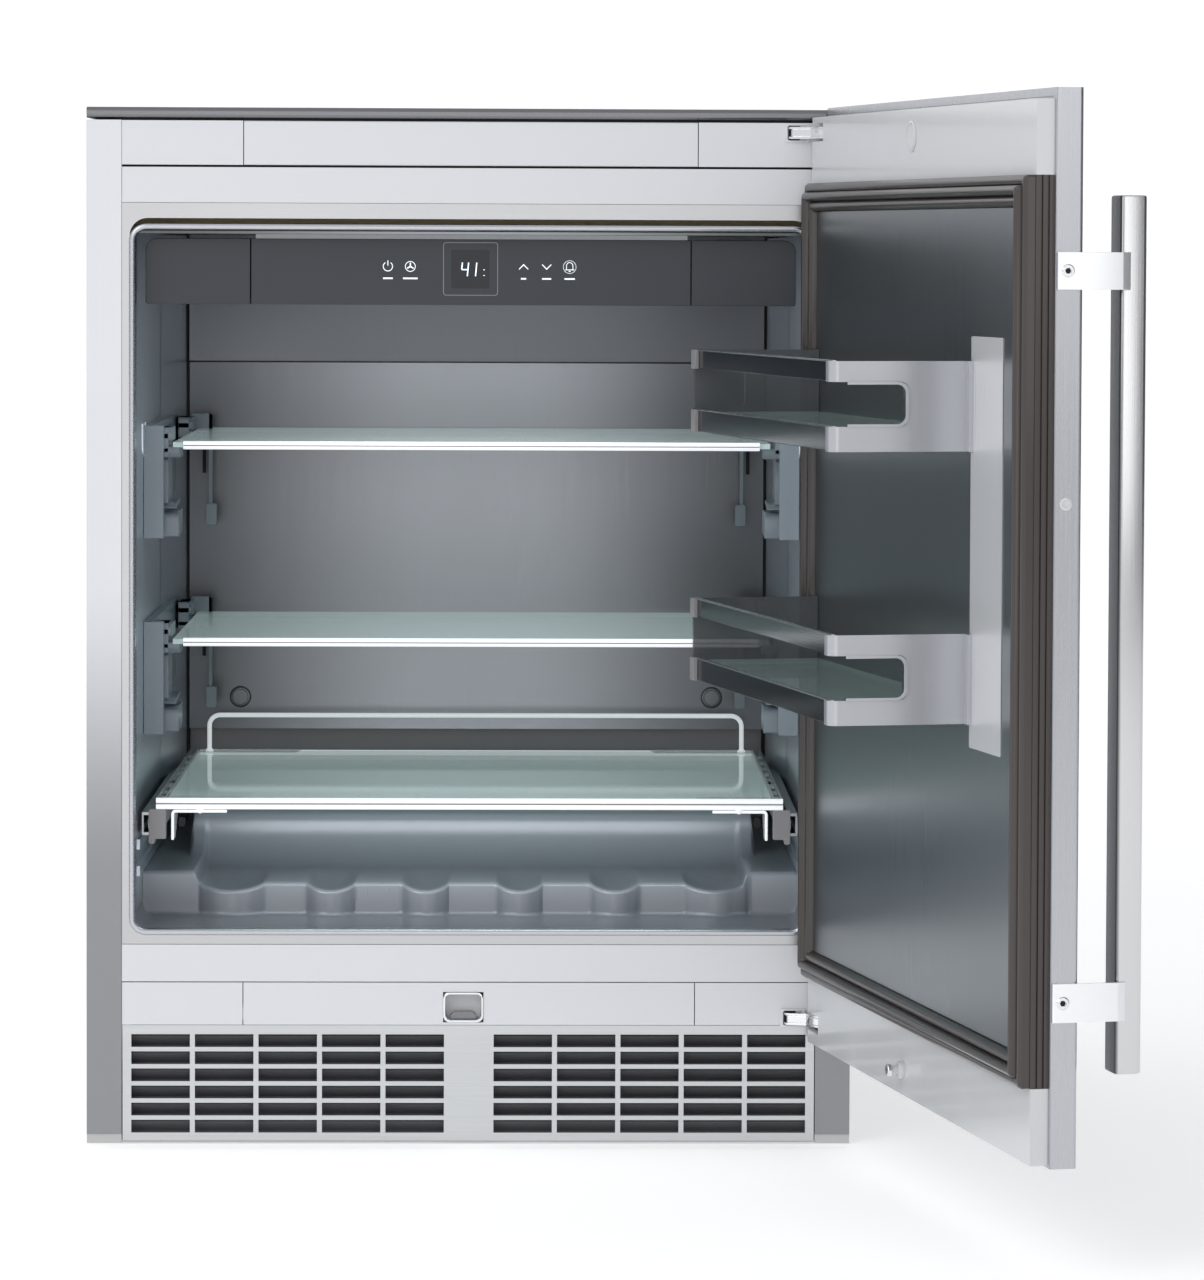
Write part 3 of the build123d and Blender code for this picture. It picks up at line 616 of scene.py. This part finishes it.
def makeControlPanel():
    p = panel
    z0, z1 = p["z"]
    left = cornered([(-254, z0), (-172.4, z0), (-172.4, z1), (-254, z1)], (2, 0.5, 0.5, 9))
    right = cornered([(254, z0), (172.4, z0), (172.4, z1), (254, z1)], (2, 0.5, 0.5, 9))
    middle = rectangle(-171.7, 171.7, z0, z1, 0.5)
    shapes = [slab(o, p["front"], p["back"], "xzy") for o in (left, middle, right)]
    put("control_fascia", shapes, "slate", nodes=["control_panel"], bevel=0.9, segments=3)
    rim = [(42.9, 41.7, 2.5, 20.02), (42.9, 41.7, 2.5, 19.85), (41.7, 40.5, 2, 19.85), (41.7, 40.5, 2, 20.02)]
    put("display_bezel", [frameBand(rim, (-0.45, 684.25))], "rimGrey")
    glassPane = slab(rectangle(-15.6, 14.3, 669, 699.2, 1.5), 19.9, 20.05, "xzy")
    put("display_glass", [glassPane], "window", nodes=["display_window"])
    y0, y1 = 19.74, 19.9
    digits = [stroke((-6.8, 689.2), (-7.4, 683.9), 0.9), stroke((-7.2, 683.7), (-2.6, 683.7), 0.9)]
    digits += [stroke((-2.0, 689.2), (-3.0, 678.6), 0.9), stroke((4.4, 689.2), (3.4, 678.6), 0.9)]
    digits += [stroke((9.6, 683.6), (10.6, 683.6), 0.6), stroke((9.6, 679.2), (10.6, 679.2), 0.6)]
    put("display_digits", [slab(o, y0, y1, "xzy") for o in digits], "digits")
    z = p["iconZ"]
    marks = [arcStroke(-65, z, 3.6, 0.7, 125, 415), stroke((-65, z + 0.6), (-65, z + 4.6), 0.7)]
    marks += [arcStroke(-47.5, z, 3.9, 0.6, 0, 360)]
    marks += [
        stroke((-47.5, z), (-47.5 + 2.9 * math.cos(a), z + 2.9 * math.sin(a)), 1.1)
        for a in (1.57, 3.67, 5.76)
    ]
    for x, way in ((41, 1), (59, -1)):  # up and down arrow heads
        tip, foot = z + 1.9 * way, z - 1.9 * way
        marks += [stroke((x - 3.6, foot), (x + 0.2, tip), 0.8), stroke((x - 0.2, tip), (x + 3.6, foot), 0.8)]
    marks.append(arcStroke(77, z + 1.0, 2.5, 0.6, 0, 180))  # a bell in a ring
    marks += [stroke((x, z + 1.2), (x, z - 2.0), 0.6) for x in (74.5, 79.5)]
    marks += [stroke((73.4, z - 2.2), (80.6, z - 2.2), 0.7), stroke((76.2, z - 3.4), (77.8, z - 3.4), 0.8)]
    marks.append(arcStroke(77, z, 5.0, 0.35, 0, 360))
    for x, w in ((-65, 7.6), (-47.5, 11.5), (41, 4.2), (59, 7.2), (77, 8.2)):
        marks.append(stroke((x - w / 2, p["markZ"]), (x + w / 2, p["markZ"]), 1.3))
    put("panel_icons", [slab(o, y0 + 0.1, 20.02, "xzy") for o in marks], "icons")


# holders of the two fixed glass shelves
holder = dict(z=(384.0, 541.0))  # undersides of the two glass plates


def shelfHolder(z):
    # a stepped plate with a jaw round the glass, a hook under it and a guide at the back, for the right wall
    shapes = []

    def side(points, radii, x0, x1, seg=4):
        # an outline of (depth, height above the glass), drawn across from x0 to x1
        outline = np.asarray(points, float) + np.array([0, z])
        shapes.append(slab(cornered(outline, radii, seg), x0, x1, "yzx"))

    side([(107, -73), (107, 15.5), (112, 17), (438, 17), (438, -44), (190, -60), (178, -73)], 1.5, 255, 261.7)
    shapes.append(slab(rectangle(246, 261.7, z - 73, z + 17, 1.0, 3), 106, 119, "xzy"))
    side([(119, -71), (119, 15), (166, 15), (166, -40), (150, -71)], 2, 250.5, 256)
    for y0, y1 in ((119, 160), (376, 420)):  # the jaw: over the glass, under it, behind its edge
        side([(y0, 4.4), (y1, 4.4), (y1, 15), (y0 + 4, 15), (y0, 11)], 2, 240, 252)
        side([(y0, -0.1), (y1, -0.1), (y1, -9), (y0 + 3, -9), (y0, -5)], 1.5, 234, 252)
        shapes.append(slab(rectangle(y0, y1, z - 9, z + 15, 2, 4), 243, 252, "yzx"))
    side([(126, -9), (172, -9), (172, -44), (126, -47)], 3, 243.5, 251)
    side([(124, -73), (124, -55), (132, -52), (172, -52), (172, -70)], (2, 4, 2, 2, 3), 235, 251)
    side([(124, -50), (172, -46), (172, -44), (130, -45.5)], 0.4, 237, 250, 3)
    shapes.append(slab(rectangle(226, 244, z + 2, z + 17, 1.2, 3), 421, 427, "xzy"))
    shapes.append(slab(rectangle(226, 229, z - 62, z + 17, 0.8, 3), 421, 427, "xzy"))
    shapes.append(slab(rectangle(222, 231, z - 78, z - 60, 1.5, 3), 418, 427, "xzy"))
    return shapes


def makeHolders():
    shapes = [s for z in holder["z"] for s in both(shelfHolder(z))]
    put("shelf_holders", shapes, "supportGrey", nodes=["shelf_supports"], bevel=0.25, smooth=30)
    grooves = [bar((231.5, 424, z - 34), (234.5, 427.3, z - 6)) for z in holder["z"]]
    put("holder_grooves", both(grooves), "gap")


# pull-out shelf
pull = dict(z=262.0, front=28.0, back=455.0)  # underside of its glass, front and back edge


def makePullout():
    z, y0, y1 = pull["z"], pull["front"], pull["back"]
    rails = [slab(rectangle(y0, y0 + 5.2, z + 1.9, z + 6, 1.9, 5), -246.4, 246.4, "yzx")]
    rails.append(slab(rectangle(y0 + 0.4, y0 + 5.2, z - 3, z + 1.2, 1.9, 5), -246.4, 246.4, "yzx"))
    put("pullout_front_rail", rails, "whiteRail", "pullout", nodes=["pullout_frame"])
    back = [slab(rectangle(y1 - 3, y1, z - 0.4, z + 4.4, 1.4, 4), -238.4, 238.4, "yzx")]
    put("pullout_back_edge", back, "whiteRail", "pullout")
    core = [bar((-246, y0 + 1.3, z + 0.9), (246, y0 + 5, z + 2.2))]
    put("pullout_rail_groove", core, "rimGrey", "pullout")
    side = [bar((238.8, y0 + 5.3, z + 4.1), (240.4, y1 - 2, z + 6))]
    side += [bar((244.9, y0 + 5.3, z - 3), (246.4, y1 - 2, z + 6))]
    side += [bar((240.4, y, z + 2.0), (244.9, y + 16, z + 4.2)) for y in np.arange(y0 + 20, y1 - 30, 50.0)]
    side += [bar((226, y0 + 5.3, z - 3), (246.4, y1 - 2, z - 0.2))]
    frontTab = [(182, y0 + 5.4), (238, y0 + 5.4), (238, y0 + 24), (178, y0 + 24)]
    backTab = [(150, y1 - 1), (238.5, y1 - 1), (238.5, y1 - 26), (154, y1 - 26)]
    side += [slab(cornered(tab, 1, 3), z + 4.15, z + 5.2) for tab in (frontTab, backTab)]
    side += [slab([(y0 + 5.4, z - 3.1), (y0 + 46, z - 3.1), (y0 + 5.4, z - 26)], 231.5, 233.0, "yzx")]
    put("pullout_side_rails", both(side), "clearPlastic", "pullout", bevel=0.4)
    lock = [bar((241.2, y, z + 1.0), (244.2, y + 9, z + 3.0)) for y in (y0 + 74, y0 + 96, y0 + 170)]
    lock += [slab(rectangle(224, 229, z - 17, z - 10, 2, 4), y0 + 6, y0 + 12, "xzy")]
    put("pullout_catches", both(lock), "gap", "pullout")
    hook = cornered([(191, z - 4.6), (233.5, z - 4.6), (233.5, z - 27)], (0, 2.2, 0), 5, closed=False)
    hook = np.stack([hook[:, 0], np.full(len(hook), y0 + 3.0), hook[:, 1]], -1)
    bead = lathe([(0, -3), (2.2, -2), (2.9, 0), (2.2, 2), (0, 3)], (212, y0 + 3.0, z - 3.6), "xzy", 14)
    put(
        "pullout_hooks", both([wire(hook, 1.15, (0, 1, 0), 10), bead]), "whiteRail", "pullout",
    )
    low, top, s = z + 4.05, z + 36, 229.0
    rail = cornered([(-s, low), (-s, top), (s, top), (s, low)], (0, 9, 9, 0), 8, closed=False)
    rail = np.stack([rail[:, 0], np.full(len(rail), 436.0), rail[:, 1]], -1)
    foot = [(2.0, 0), (3.4, 0), (3.6, 1.4), (3.0, 2.6), (2.0, 3.2)]
    ends = [lathe(foot, (x, 436, low), "xyz", 18) for x in (-s, s)]
    put(
        "pullout_rail", [wire(rail, 2.0, (0, 1, 0), 18)] + ends, "whiteRail", "pullout",
        nodes=["pullout_wire"]
    )
    cap = [(238.6, -3.05), (252.3, -3.05), (252.3, -30.4), (247.2, -30.4), (247.2, -26.4), (238.6, -26.4)]
    cap = cornered(np.asarray(cap) + np.array([0, z]), (2, 1, 2.2, 2.2, 0.6, 1.2), 4)
    caps = [slab(cap, 29, 35.9, "xzy")]
    caps += [bar((243.2, 36, 240), (247.4, 446, z - 3.05))]
    put("slide_caps", both(caps), "capGrey", "pullout", nodes=["slide_moving"], bevel=0.5)


# shelf front trims: a rounded white nose with a grey line along its front
def makeShelfTrims():
    for name, z in zip(("lower_shelf", "upper_shelf"), holder["z"]):
        nose = cornered(
            [(95.1, z - 1.5), (99.9, z - 1.5), (99.9, z + 5.1), (95.1, z + 5.1)], (2.2, 0.2, 0.2, 1.6), 5
        )
        tip = [slab(nose, -229.5, 229.5, "yzx")]
        put(name + "_nose", tip, "whiteRail", name, nodes=[name + "_trim"])
        line = [bar((-229.3, 94.95, z + 1.3), (229.3, 95.4, z + 2.1))]
        put(name + "_line", line, "rimGrey", name)


# door: seal, edge strips, folded edge, plate, plugs and stud
seal = dict(u=294.5, z=443.3, w=579.0, h=616.6)


def makeSeal():
    # ridges are half circles over a flat base, narrowing ring by ring from the outer edge to the inner one
    w, h, c = seal["w"], seal["h"], (seal["u"], seal["z"])
    rows = [(w, h, 2, -0.05), (w, h, 2, -5.6)]
    for start, width, base, tall in ((0.6, 6.0, -6.0, 2.2), (7.0, 6.4, -8.6, 4.0), (14.2, 6.6, -6.0, 3.0)):
        for t in np.linspace(0, math.pi, 7):
            inset = start + width * (1 - math.cos(t)) / 2
            rows.append((w - 2 * inset, h - 2 * inset, 2, base - tall * math.sin(t)))
    rows += [(w - 43.4, h - 43.4, 1.5, -3.2), (w - 43.8, h - 43.8, 1.5, -0.05)]
    put("door_seal", [frameBand(rows, c, "xzy")], "rubber", "door", ["door_gasket"], onDoor, smooth=55)
    strips = []
    for rim in (0.1, 584.9):  # hinge side, free side
        s = 1 if rim > 100 else -1
        o = [(rim - s * 13.8, 0), (rim, 0)]
        for v in (3.2, 7.8):
            o += [(rim, v), (rim - s * 1.5, v + 0.5), (rim - s * 1.5, v + 1.3), (rim, v + 1.8)]
        o += [(rim, 12.9), (rim - s * 13.8, 12.9)]
        strips.append(slab(o, 135.1, 751.5))
    put("door_edge_strips", strips, "rubber", "door", (), onDoor)


hem = dict(u=(0.0, 588.75), v=(12.7, 13.05), z=(80.9, 810.1), tall=5.6, wide=4.5)


def makeHem():
    # the skin's folded edge: strips along the top, the bottom and the free side, none beside the hinges
    (u0, u1), (v0, v1), (z0, z1), tall = hem["u"], hem["v"], hem["z"], hem["tall"]
    strips = [bar((u0, v0, z1 - tall), (u1, v1, z1)), bar((u0, v0, z0), (u1, v1, z0 + tall))]
    strips.append(bar((u1 - hem["wide"], v0, z0 + tall), (u1, v1, z1 - tall)))
    put("skin_hem", strips, "doorSkin", "door", (), onDoor)


doorPlate = dict(u=(447, 522), z=(354, 641), v=(-3.5, -3.02))


def makeDoorPlate():
    # the pale satin plate beside the open ends of the door shelves
    plate = [slab(rectangle(*doorPlate["u"], *doorPlate["z"], 1.5, 3), *doorPlate["v"], "xzy")]
    put("door_pale_plate", plate, "paleSteel", "door", (), onDoor)


def makeDoorPlugs():
    cap = [(11.5, 0), (11.5, 0.45), (10.9, 0.75), (9.7, 0.75), (9.4, 0.3), (9.0, 0.3), (8.7, 0.7), (0, 0.72)]
    flat = lathe([(r, -d) for r, d in cap], (280.5, 0, 782.8), "xzy", 40)
    cap = [(4.4, 0.05), (4.4, 0.5), (3.9, 0.78), (2.6, 0.78), (2.3, 0.35), (0, 0.35)]
    side = lathe(cap, (589.0, 21, 530.5), "yzx", 26)
    put("door_plug_caps", [flat, side], "doorWhite", "door", ["door_plugs"], onDoor)
    collar = [(6.5, 0), (6.5, -2.4), (5.6, -4.0), (3.2, -4.2), (3.2, -8.4), (0, -8.4)]
    base = lathe(collar, (271.5, 0, 101.4), "xzy")
    a = np.radians(np.arange(0, 360, 60))
    nut = slab(np.stack([271.5 + 5 * np.cos(a), 101.4 + 5 * np.sin(a)], -1), -12.4, -8.4, "xzy")
    put("stud_base", [base], "doorWhite", "door", (), onDoor)
    put("stud_nut", [nut], "brightSteel", "door", ["door_stud"], onDoor, bevel=0.8)


# handle
grip = dict(u=(565.0, 588.9), v=(58.7, 77.3), z=(143.6, 738.2), brackets=((180.4, 206.8), (674.6, 699.8)))


def makeHandle():
    (u0, u1), (v0, v1), (z0, z1) = grip["u"], grip["v"], grip["z"]
    rings = []
    for inset, z in ((1.4, z0), (0.4, z0 + 0.4), (0, z0 + 1.4), (0, z1 - 1.4), (0.4, z1 - 0.4), (1.4, z1)):
        o = rectangle(u0 + inset, u1 - inset, v0 + inset, v1 - inset, 2.6, 6)
        rings.append(np.column_stack([o, np.full(len(o), z)]))
    put("grip_bar", [loft(rings)], "handle", "door", ["handle_bar"], onDoor)
    plates, screws, sockets = [], [], []
    screw = [(4.6, 0), (4.6, 0.35), (3.9, 1.0), (2.5, 1.0), (2.4, 0.3), (0, 0.3)]
    for za, zb in grip["brackets"]:
        zm = (za + zb) / 2
        outline = cornered(
            [(589.05, 13.25), (592, 13.25), (592, 59.5), (589.05, 66.7)], (0.3, 1.2, 2.0, 0.3), 4
        )
        plates.append(slab(outline, za, zb))
        screws.append(lathe(screw, (592, 20.5, zm), "yzx", 26))
        a = np.radians(np.arange(0, 360, 60))
        sockets.append(
            slab(np.stack([20.5 + 2.1 * np.cos(a), zm + 2.1 * np.sin(a)], -1), 592.2, 592.45, "yzx")
        )
    put("grip_brackets", plates, "bracket", "door", ["handle_brackets"], onDoor, bevel=0.5)
    put("grip_screws", screws, "brightSteel", "door", ["handle_screws"], onDoor)
    put("grip_sockets", sockets, "gap", "door", (), onDoor)


# door shelves
rack = dict(z=(370.1, 560.5), u=(33.0, 444.0), v=-104.0, tall=63.1)


def rackEnd(z):
    # a plate with a slot open towards the front rails, its arms bent round the corner over the rails
    t, u, v, h = 3.4, rack["u"][1], rack["v"], rack["tall"]
    outline = [
        (v + 7, 0), (-3.1, 0), (-3.1, h), (v + 7, h), (v + 7, 48.6), (-48, 48.6), (-48, 17.5), (v + 7, 17.5)
    ]
    outline = cornered(outline, (0, 1, 1, 0, 0, 5, 5, 0), 6)
    outline[:, 1] += z
    shapes = [slab(outline, u - t, u, "yzx")]
    bend = cornered([(v + 7.2, u), (v, u), (v, u - 13)], (0, 7, 0), 8, closed=False)
    inner = cornered([(v + 7.2, u - t), (v + t, u - t), (v + t, u - 13)], (0, 3.6, 0), 8, closed=False)
    arm = np.concatenate([bend, inner[::-1]])
    for low, high in ((0, 17.5), (48.6, h)):
        shapes.append(slab(arm, z + low, z + high, "yxz"))
    shapes.append(bar((u - 0.1, -6.6, z), (u + 9.6, -3.15, z + h)))
    lip = cornered([(v + 12, 46.8), (-50, 46.8), (-50, 19.3), (v + 12, 19.3)], (0, 6, 6, 0), 6, closed=False)
    outer = [(v + 12, 48.8), (-47.6, 48.8), (-47.6, 17.3), (v + 12, 17.3)]
    outer = cornered(outer, (0, 7.5, 7.5, 0), 6, closed=False)
    ridge = np.concatenate([lip, outer[::-1]])
    ridge[:, 1] += z
    shapes.append(slab(ridge, u - 0.2, u + 1.5, "yzx"))
    return shapes


def rackCollar(z):
    # the slot's inner wall, running back from the plate
    u, v = rack["u"][1], rack["v"]
    near = cornered(
        [(v + 14, 50.4), (-46.2, 50.4), (-46.2, 15.7), (v + 14, 15.7)], (0, 7, 7, 0), 6, closed=False
    )
    far = cornered(
        [(v + 14, 48.7), (-47.9, 48.7), (-47.9, 17.4), (v + 14, 17.4)], (0, 5.3, 5.3, 0), 6, closed=False
    )
    c = np.concatenate([near, far[::-1]])
    c[:, 1] += z
    return slab(c, u - 13, u - 3.5, "yzx")


def makeRacks():
    u0, u1 = rack["u"]
    v, h = rack["v"], rack["tall"]
    ends, plates, rails, edges, caps = [], [], [], [], []
    for z in rack["z"]:
        ends += rackEnd(z)
        plate = cornered([(v + 2, z), (-3.1, z), (-3.1, z + h), (v + 2, z + h)], (4, 0.5, 0.5, 6), 6)
        plates.append(slab(plate, u0, u0 + 3.4, "yzx"))
        plates.append(bar((u0 - 5.4, -6.5, z), (u0, -3.1, z + h)))
        for low, high in ((0.4, 17.3), (49.0, 63.0)):
            rail = rectangle(v + 3.15, v + 4.7, z + low, z + high, 0.3, 2)
            edge = rectangle(v + 2.2, v + 5.1, z + high - 0.6, z + high + 0.7, 0.6, 3)
            cap = rectangle(v, v + 3.1, z + low - 0.4, z + high + 0.1, 0.6, 3)
            rails.append(slab(rail, u0 + 3.5, u1 - 3.7, "yzx"))
            edges.append(slab(edge, u0 + 3.6, u1 - 3.8, "yzx"))
            caps.append(slab(cap, u0, u0 + 12.6, "yzx"))
    put("rack_near_ends", ends, "rackPlastic", "door", ["rack_sides"], onDoor, bevel=0.35, smooth=35)
    put(
        "rack_slot_collars", [rackCollar(z) for z in rack["z"]], "smoked", "door", (), onDoor,
    )
    put("rack_far_ends", plates, "smoked", "door", (), onDoor, bevel=0.4)
    put("rack_far_caps", caps, "capGrey", "door", (), onDoor, bevel=0.3)
    put("rack_rail_bars", rails, "darkRail", "door", ["rack_rails"], onDoor, bevel=0.2)
    put("rack_rail_edges", edges, "lip", "door", (), onDoor)


# hinge arms at the casing
hinge = dict(z=(99.0, 791.0), pin=(278.7, -25.45))


def makeHinges():
    # two plates with a narrower core, and a turned eye round the pin
    px, py = hinge["pin"]
    full = [(px - 3.4, py - 3.2), (px + 3.6, py + 3.2), (268.5, -5.6), (252, -0.2), (246, -0.2)]
    full += [(248, -6.5), (263.5, -11)]
    eye = [(6.4, -4.7), (6.4, -3.6), (5.8, -3.2), (5.8, 3.2), (6.4, 3.6), (6.4, 4.7), (5.9, 4.7)]
    cover = [(20, 15, 2, -0.1), (20, 15, 2, -1.0), (15, 11.4, 1.5, -1.0), (15, 11.4, 1.5, -0.1)]
    arms, slots, plates = [], [], []
    for z in hinge["z"]:
        outline = cornered(full, 0.8, 3)
        inset = outline * 0.9 + outline.mean(0) * 0.1
        arms += [
            slab(outline, z - 4.7, z - 2.8), slab(outline, z + 2.8, z + 4.7), slab(inset, z - 2.8, z + 2.8)
        ]
        arms.append(lathe(eye, (px, py, z), "xyz", 26))
        slots.append(slab(rectangle(246.5, 256, z - 5.6, z + 5.6, 1, 3), -0.6, -0.1, "xzy"))
        plates.append(frameBand(cover, (253.5, z)))
    put("hinge_links", arms, "chrome", nodes=["hinge_arms"], bevel=0.4)
    put("hinge_slots", slots, "gap")
    put("hinge_covers", plates, "paint", bevel=0.3)


# keeper in the lower fascia
def makeKeeper():
    rim = [(31.2, 23.4, 5, 1), (31.2, 23.4, 5, -0.5), (30.2, 22.4, 4.6, -0.8), (28.4, 20.6, 4, -0.8)]
    rim += [(27.4, 19.6, 3.6, -0.2), (27.4, 19.6, 3.6, 12), (31.2, 23.4, 5, 12)]
    put("keeper_rim", [frameBand(rim, (-4.4, 107.1))], "chrome", nodes=["lock_keeper"])
    floor = [slab(rectangle(-18, 9.2, 97.4, 116.8, 3.5), 9.5, 11, "xzy")]
    put("keeper_recess", floor, "keeperGrey")
    tongue = [(-14.5, 97.6), (6, 97.6), (6, 100.4), (2.5, 103.4), (-11, 103.4), (-14.5, 100.4)]
    put(
        "keeper_tongue", [slab(cornered(tongue, 1.2, 4), 2.5, 9.6, "xzy")], "rimGrey",
        bevel=0.5
    )


# plugs on the back panel, with a groove between rim and middle
def makeDuctPlugs():
    p = [(8.7, -0.1), (8.7, -1.5), (8.2, -1.9), (7.2, -1.9), (6.9, -0.9), (6.5, -0.9), (6.2, -1.6), (0, -1.7)]
    put("duct_caps", both([lathe(p, (204, 464, 311.5), "xzy", 40)]), "linerBack", nodes=["duct_plugs"])
    ring = [
        (18.6, 18.6, 9.3, 463.9), (18.6, 18.6, 9.3, 463.4), (17.6, 17.6, 8.8, 463.4), (17.6, 17.6, 8.8, 463.9)
    ]
    put("duct_rings", both([frameBand(ring, (204, 311.5))]), "gap")


makeFront()
makeCasingGaps()
makeBackDetails()
makeTray()
makeControlPanel()
makeHolders()
makePullout()
makeShelfTrims()
print("cabinet pieces")
makeSeal()
makeHem()
makeDoorPlate()
makeDoorPlugs()
makeHandle()
makeRacks()
makeHinges()
makeKeeper()
makeDuctPlugs()
print("door, hinge, keeper and duct pieces")

# stage, light, camera
view = dict(
    x=0.05109, ahead=4.19677, z=0.70249, yaw=-0.0219, pitch=-0.0421, roll=0.0041,
    lens=151.57, shift=(-0.0405, -0.1302),
)


def makeCamera():
    # the right, down and ahead axes, turned by yaw, pitch and roll in that order
    cy, sy, cp, sp, cr, sr = (f(view[k]) for k in ("yaw", "pitch", "roll") for f in (math.cos, math.sin))
    right, ahead, down = Vector((cy, sy, 0)), Vector((-sy, cy, 0)), Vector((0, 0, -1))
    down, ahead = cp * down + sp * ahead, -sp * down + cp * ahead
    right, down = cr * right - sr * down, sr * right + cr * down
    data = bpy.data.cameras.new("view")
    data.lens, data.sensor_width, data.clip_end = view["lens"], 36.0, 60
    data.shift_x, data.shift_y = view["shift"]
    cam = bpy.data.objects.new("view", data)
    bpy.context.scene.collection.objects.link(cam)
    turn = Matrix((right, -down, -ahead)).transposed().to_4x4()
    cam.matrix_world = Matrix.Translation((view["x"], frontY - view["ahead"], view["z"])) @ turn
    bpy.context.scene.camera = cam


def softbox(name, at, aim, size, power, colour=(1, 1, 1)):
    # a rectangular lamp at one place, turned towards another
    lamp = bpy.data.lights.new(name, "AREA")
    lamp.shape, lamp.size, lamp.size_y = "RECTANGLE", *size
    lamp.energy, lamp.color = power, colour
    obj = bpy.data.objects.new(name, lamp)
    obj.location = at
    obj.rotation_euler = (Vector(aim) - Vector(at)).to_track_quat("-Z", "Y").to_euler()
    bpy.context.scene.collection.objects.link(obj)


def makeStage():
    # a pale sweep: a flat floor that curves up far behind, as one grid
    t = np.linspace(0, 1, 40)
    bend = np.clip((t - 0.6) / 0.4, 0, 1) * math.pi / 2
    y = np.where(t < 0.6, -8 + t / 0.6 * 13, 5 + 3 * np.sin(bend))
    z = np.where(t < 0.6, 0, 3 - 3 * np.cos(bend)) - 0.0005
    gx, gy = np.meshgrid(np.linspace(-9, 9, 3), y)
    pts = np.stack([gx, gy, np.repeat(z[:, None], 3, 1)], -1).reshape(-1, 3)
    mesh = bpy.data.meshes.new("floor")
    mesh.from_pydata(pts.tolist(), [], gridFaces(40, 3))
    mesh.shade_smooth()
    f = Finish("floor_pale", Roughness=0.8, Emission_Strength=0.42, Emission_Color=(1, 1, 1))
    f.set(Base_Color=f.mixColour(f.noise(3.0), (0.88, 0.88, 0.88), (0.90, 0.90, 0.90)))
    mesh.materials.append(f.material)
    floor = bpy.data.objects.new("floor", mesh)
    bpy.context.scene.collection.objects.link(floor)


def makeWorld():
    # a pale sky that is darker towards the right
    world = bpy.data.worlds.new("studio")
    bpy.context.scene.world = world
    world.use_nodes = True
    tree = world.node_tree
    sky = tree.nodes["Background"]
    at = tree.nodes.new("ShaderNodeTexCoord")
    xyz = tree.nodes.new("ShaderNodeSeparateXYZ")
    tree.links.new(at.outputs["Generated"], xyz.inputs[0])
    side = tree.nodes.new("ShaderNodeMapRange")
    tree.links.new(xyz.outputs[0], side.inputs[0])
    for k, value in ((1, 0.05), (2, 0.75), (3, 0.80), (4, 0.08)):  # from, to, strength at each
        side.inputs[k].default_value = value
    tree.links.new(side.outputs[0], sky.inputs[1])
    sky.inputs[0].default_value = (0.97, 0.98, 1.0, 1)


makeCamera()
makeStage()
makeWorld()
# the last two stand inside the compartment, for light that bounces about in it
softbox("key", (-1.9, -3.2, 2.4), (0, 0, 0.45), (1.8, 1.8), 29)
softbox("fill", (1.6, -3.6, 1.6), (0.1, 0, 0.4), (1.2, 2.0), 11)
softbox("front", (-0.25, -4.9, 0.62), (-0.02, 0, 0.32), (1.5, 1.1), 5)
softbox("low", (0, frontY + 0.03, 0.250), (0, frontY + 0.3, 0.205), (0.40, 0.02), 0.16, (0.93, 0.96, 1.0))
softbox("cavity", (0, frontY + 0.065, 0.700), (0, frontY + 0.12, 0.30), (0.33, 0.02), 0.45, (0.93, 0.97, 1.0))
bpy.context.scene.view_settings.view_transform = "Standard"
print("stage, light and camera")

# bring the scene up to date
bpy.context.view_layer.update()
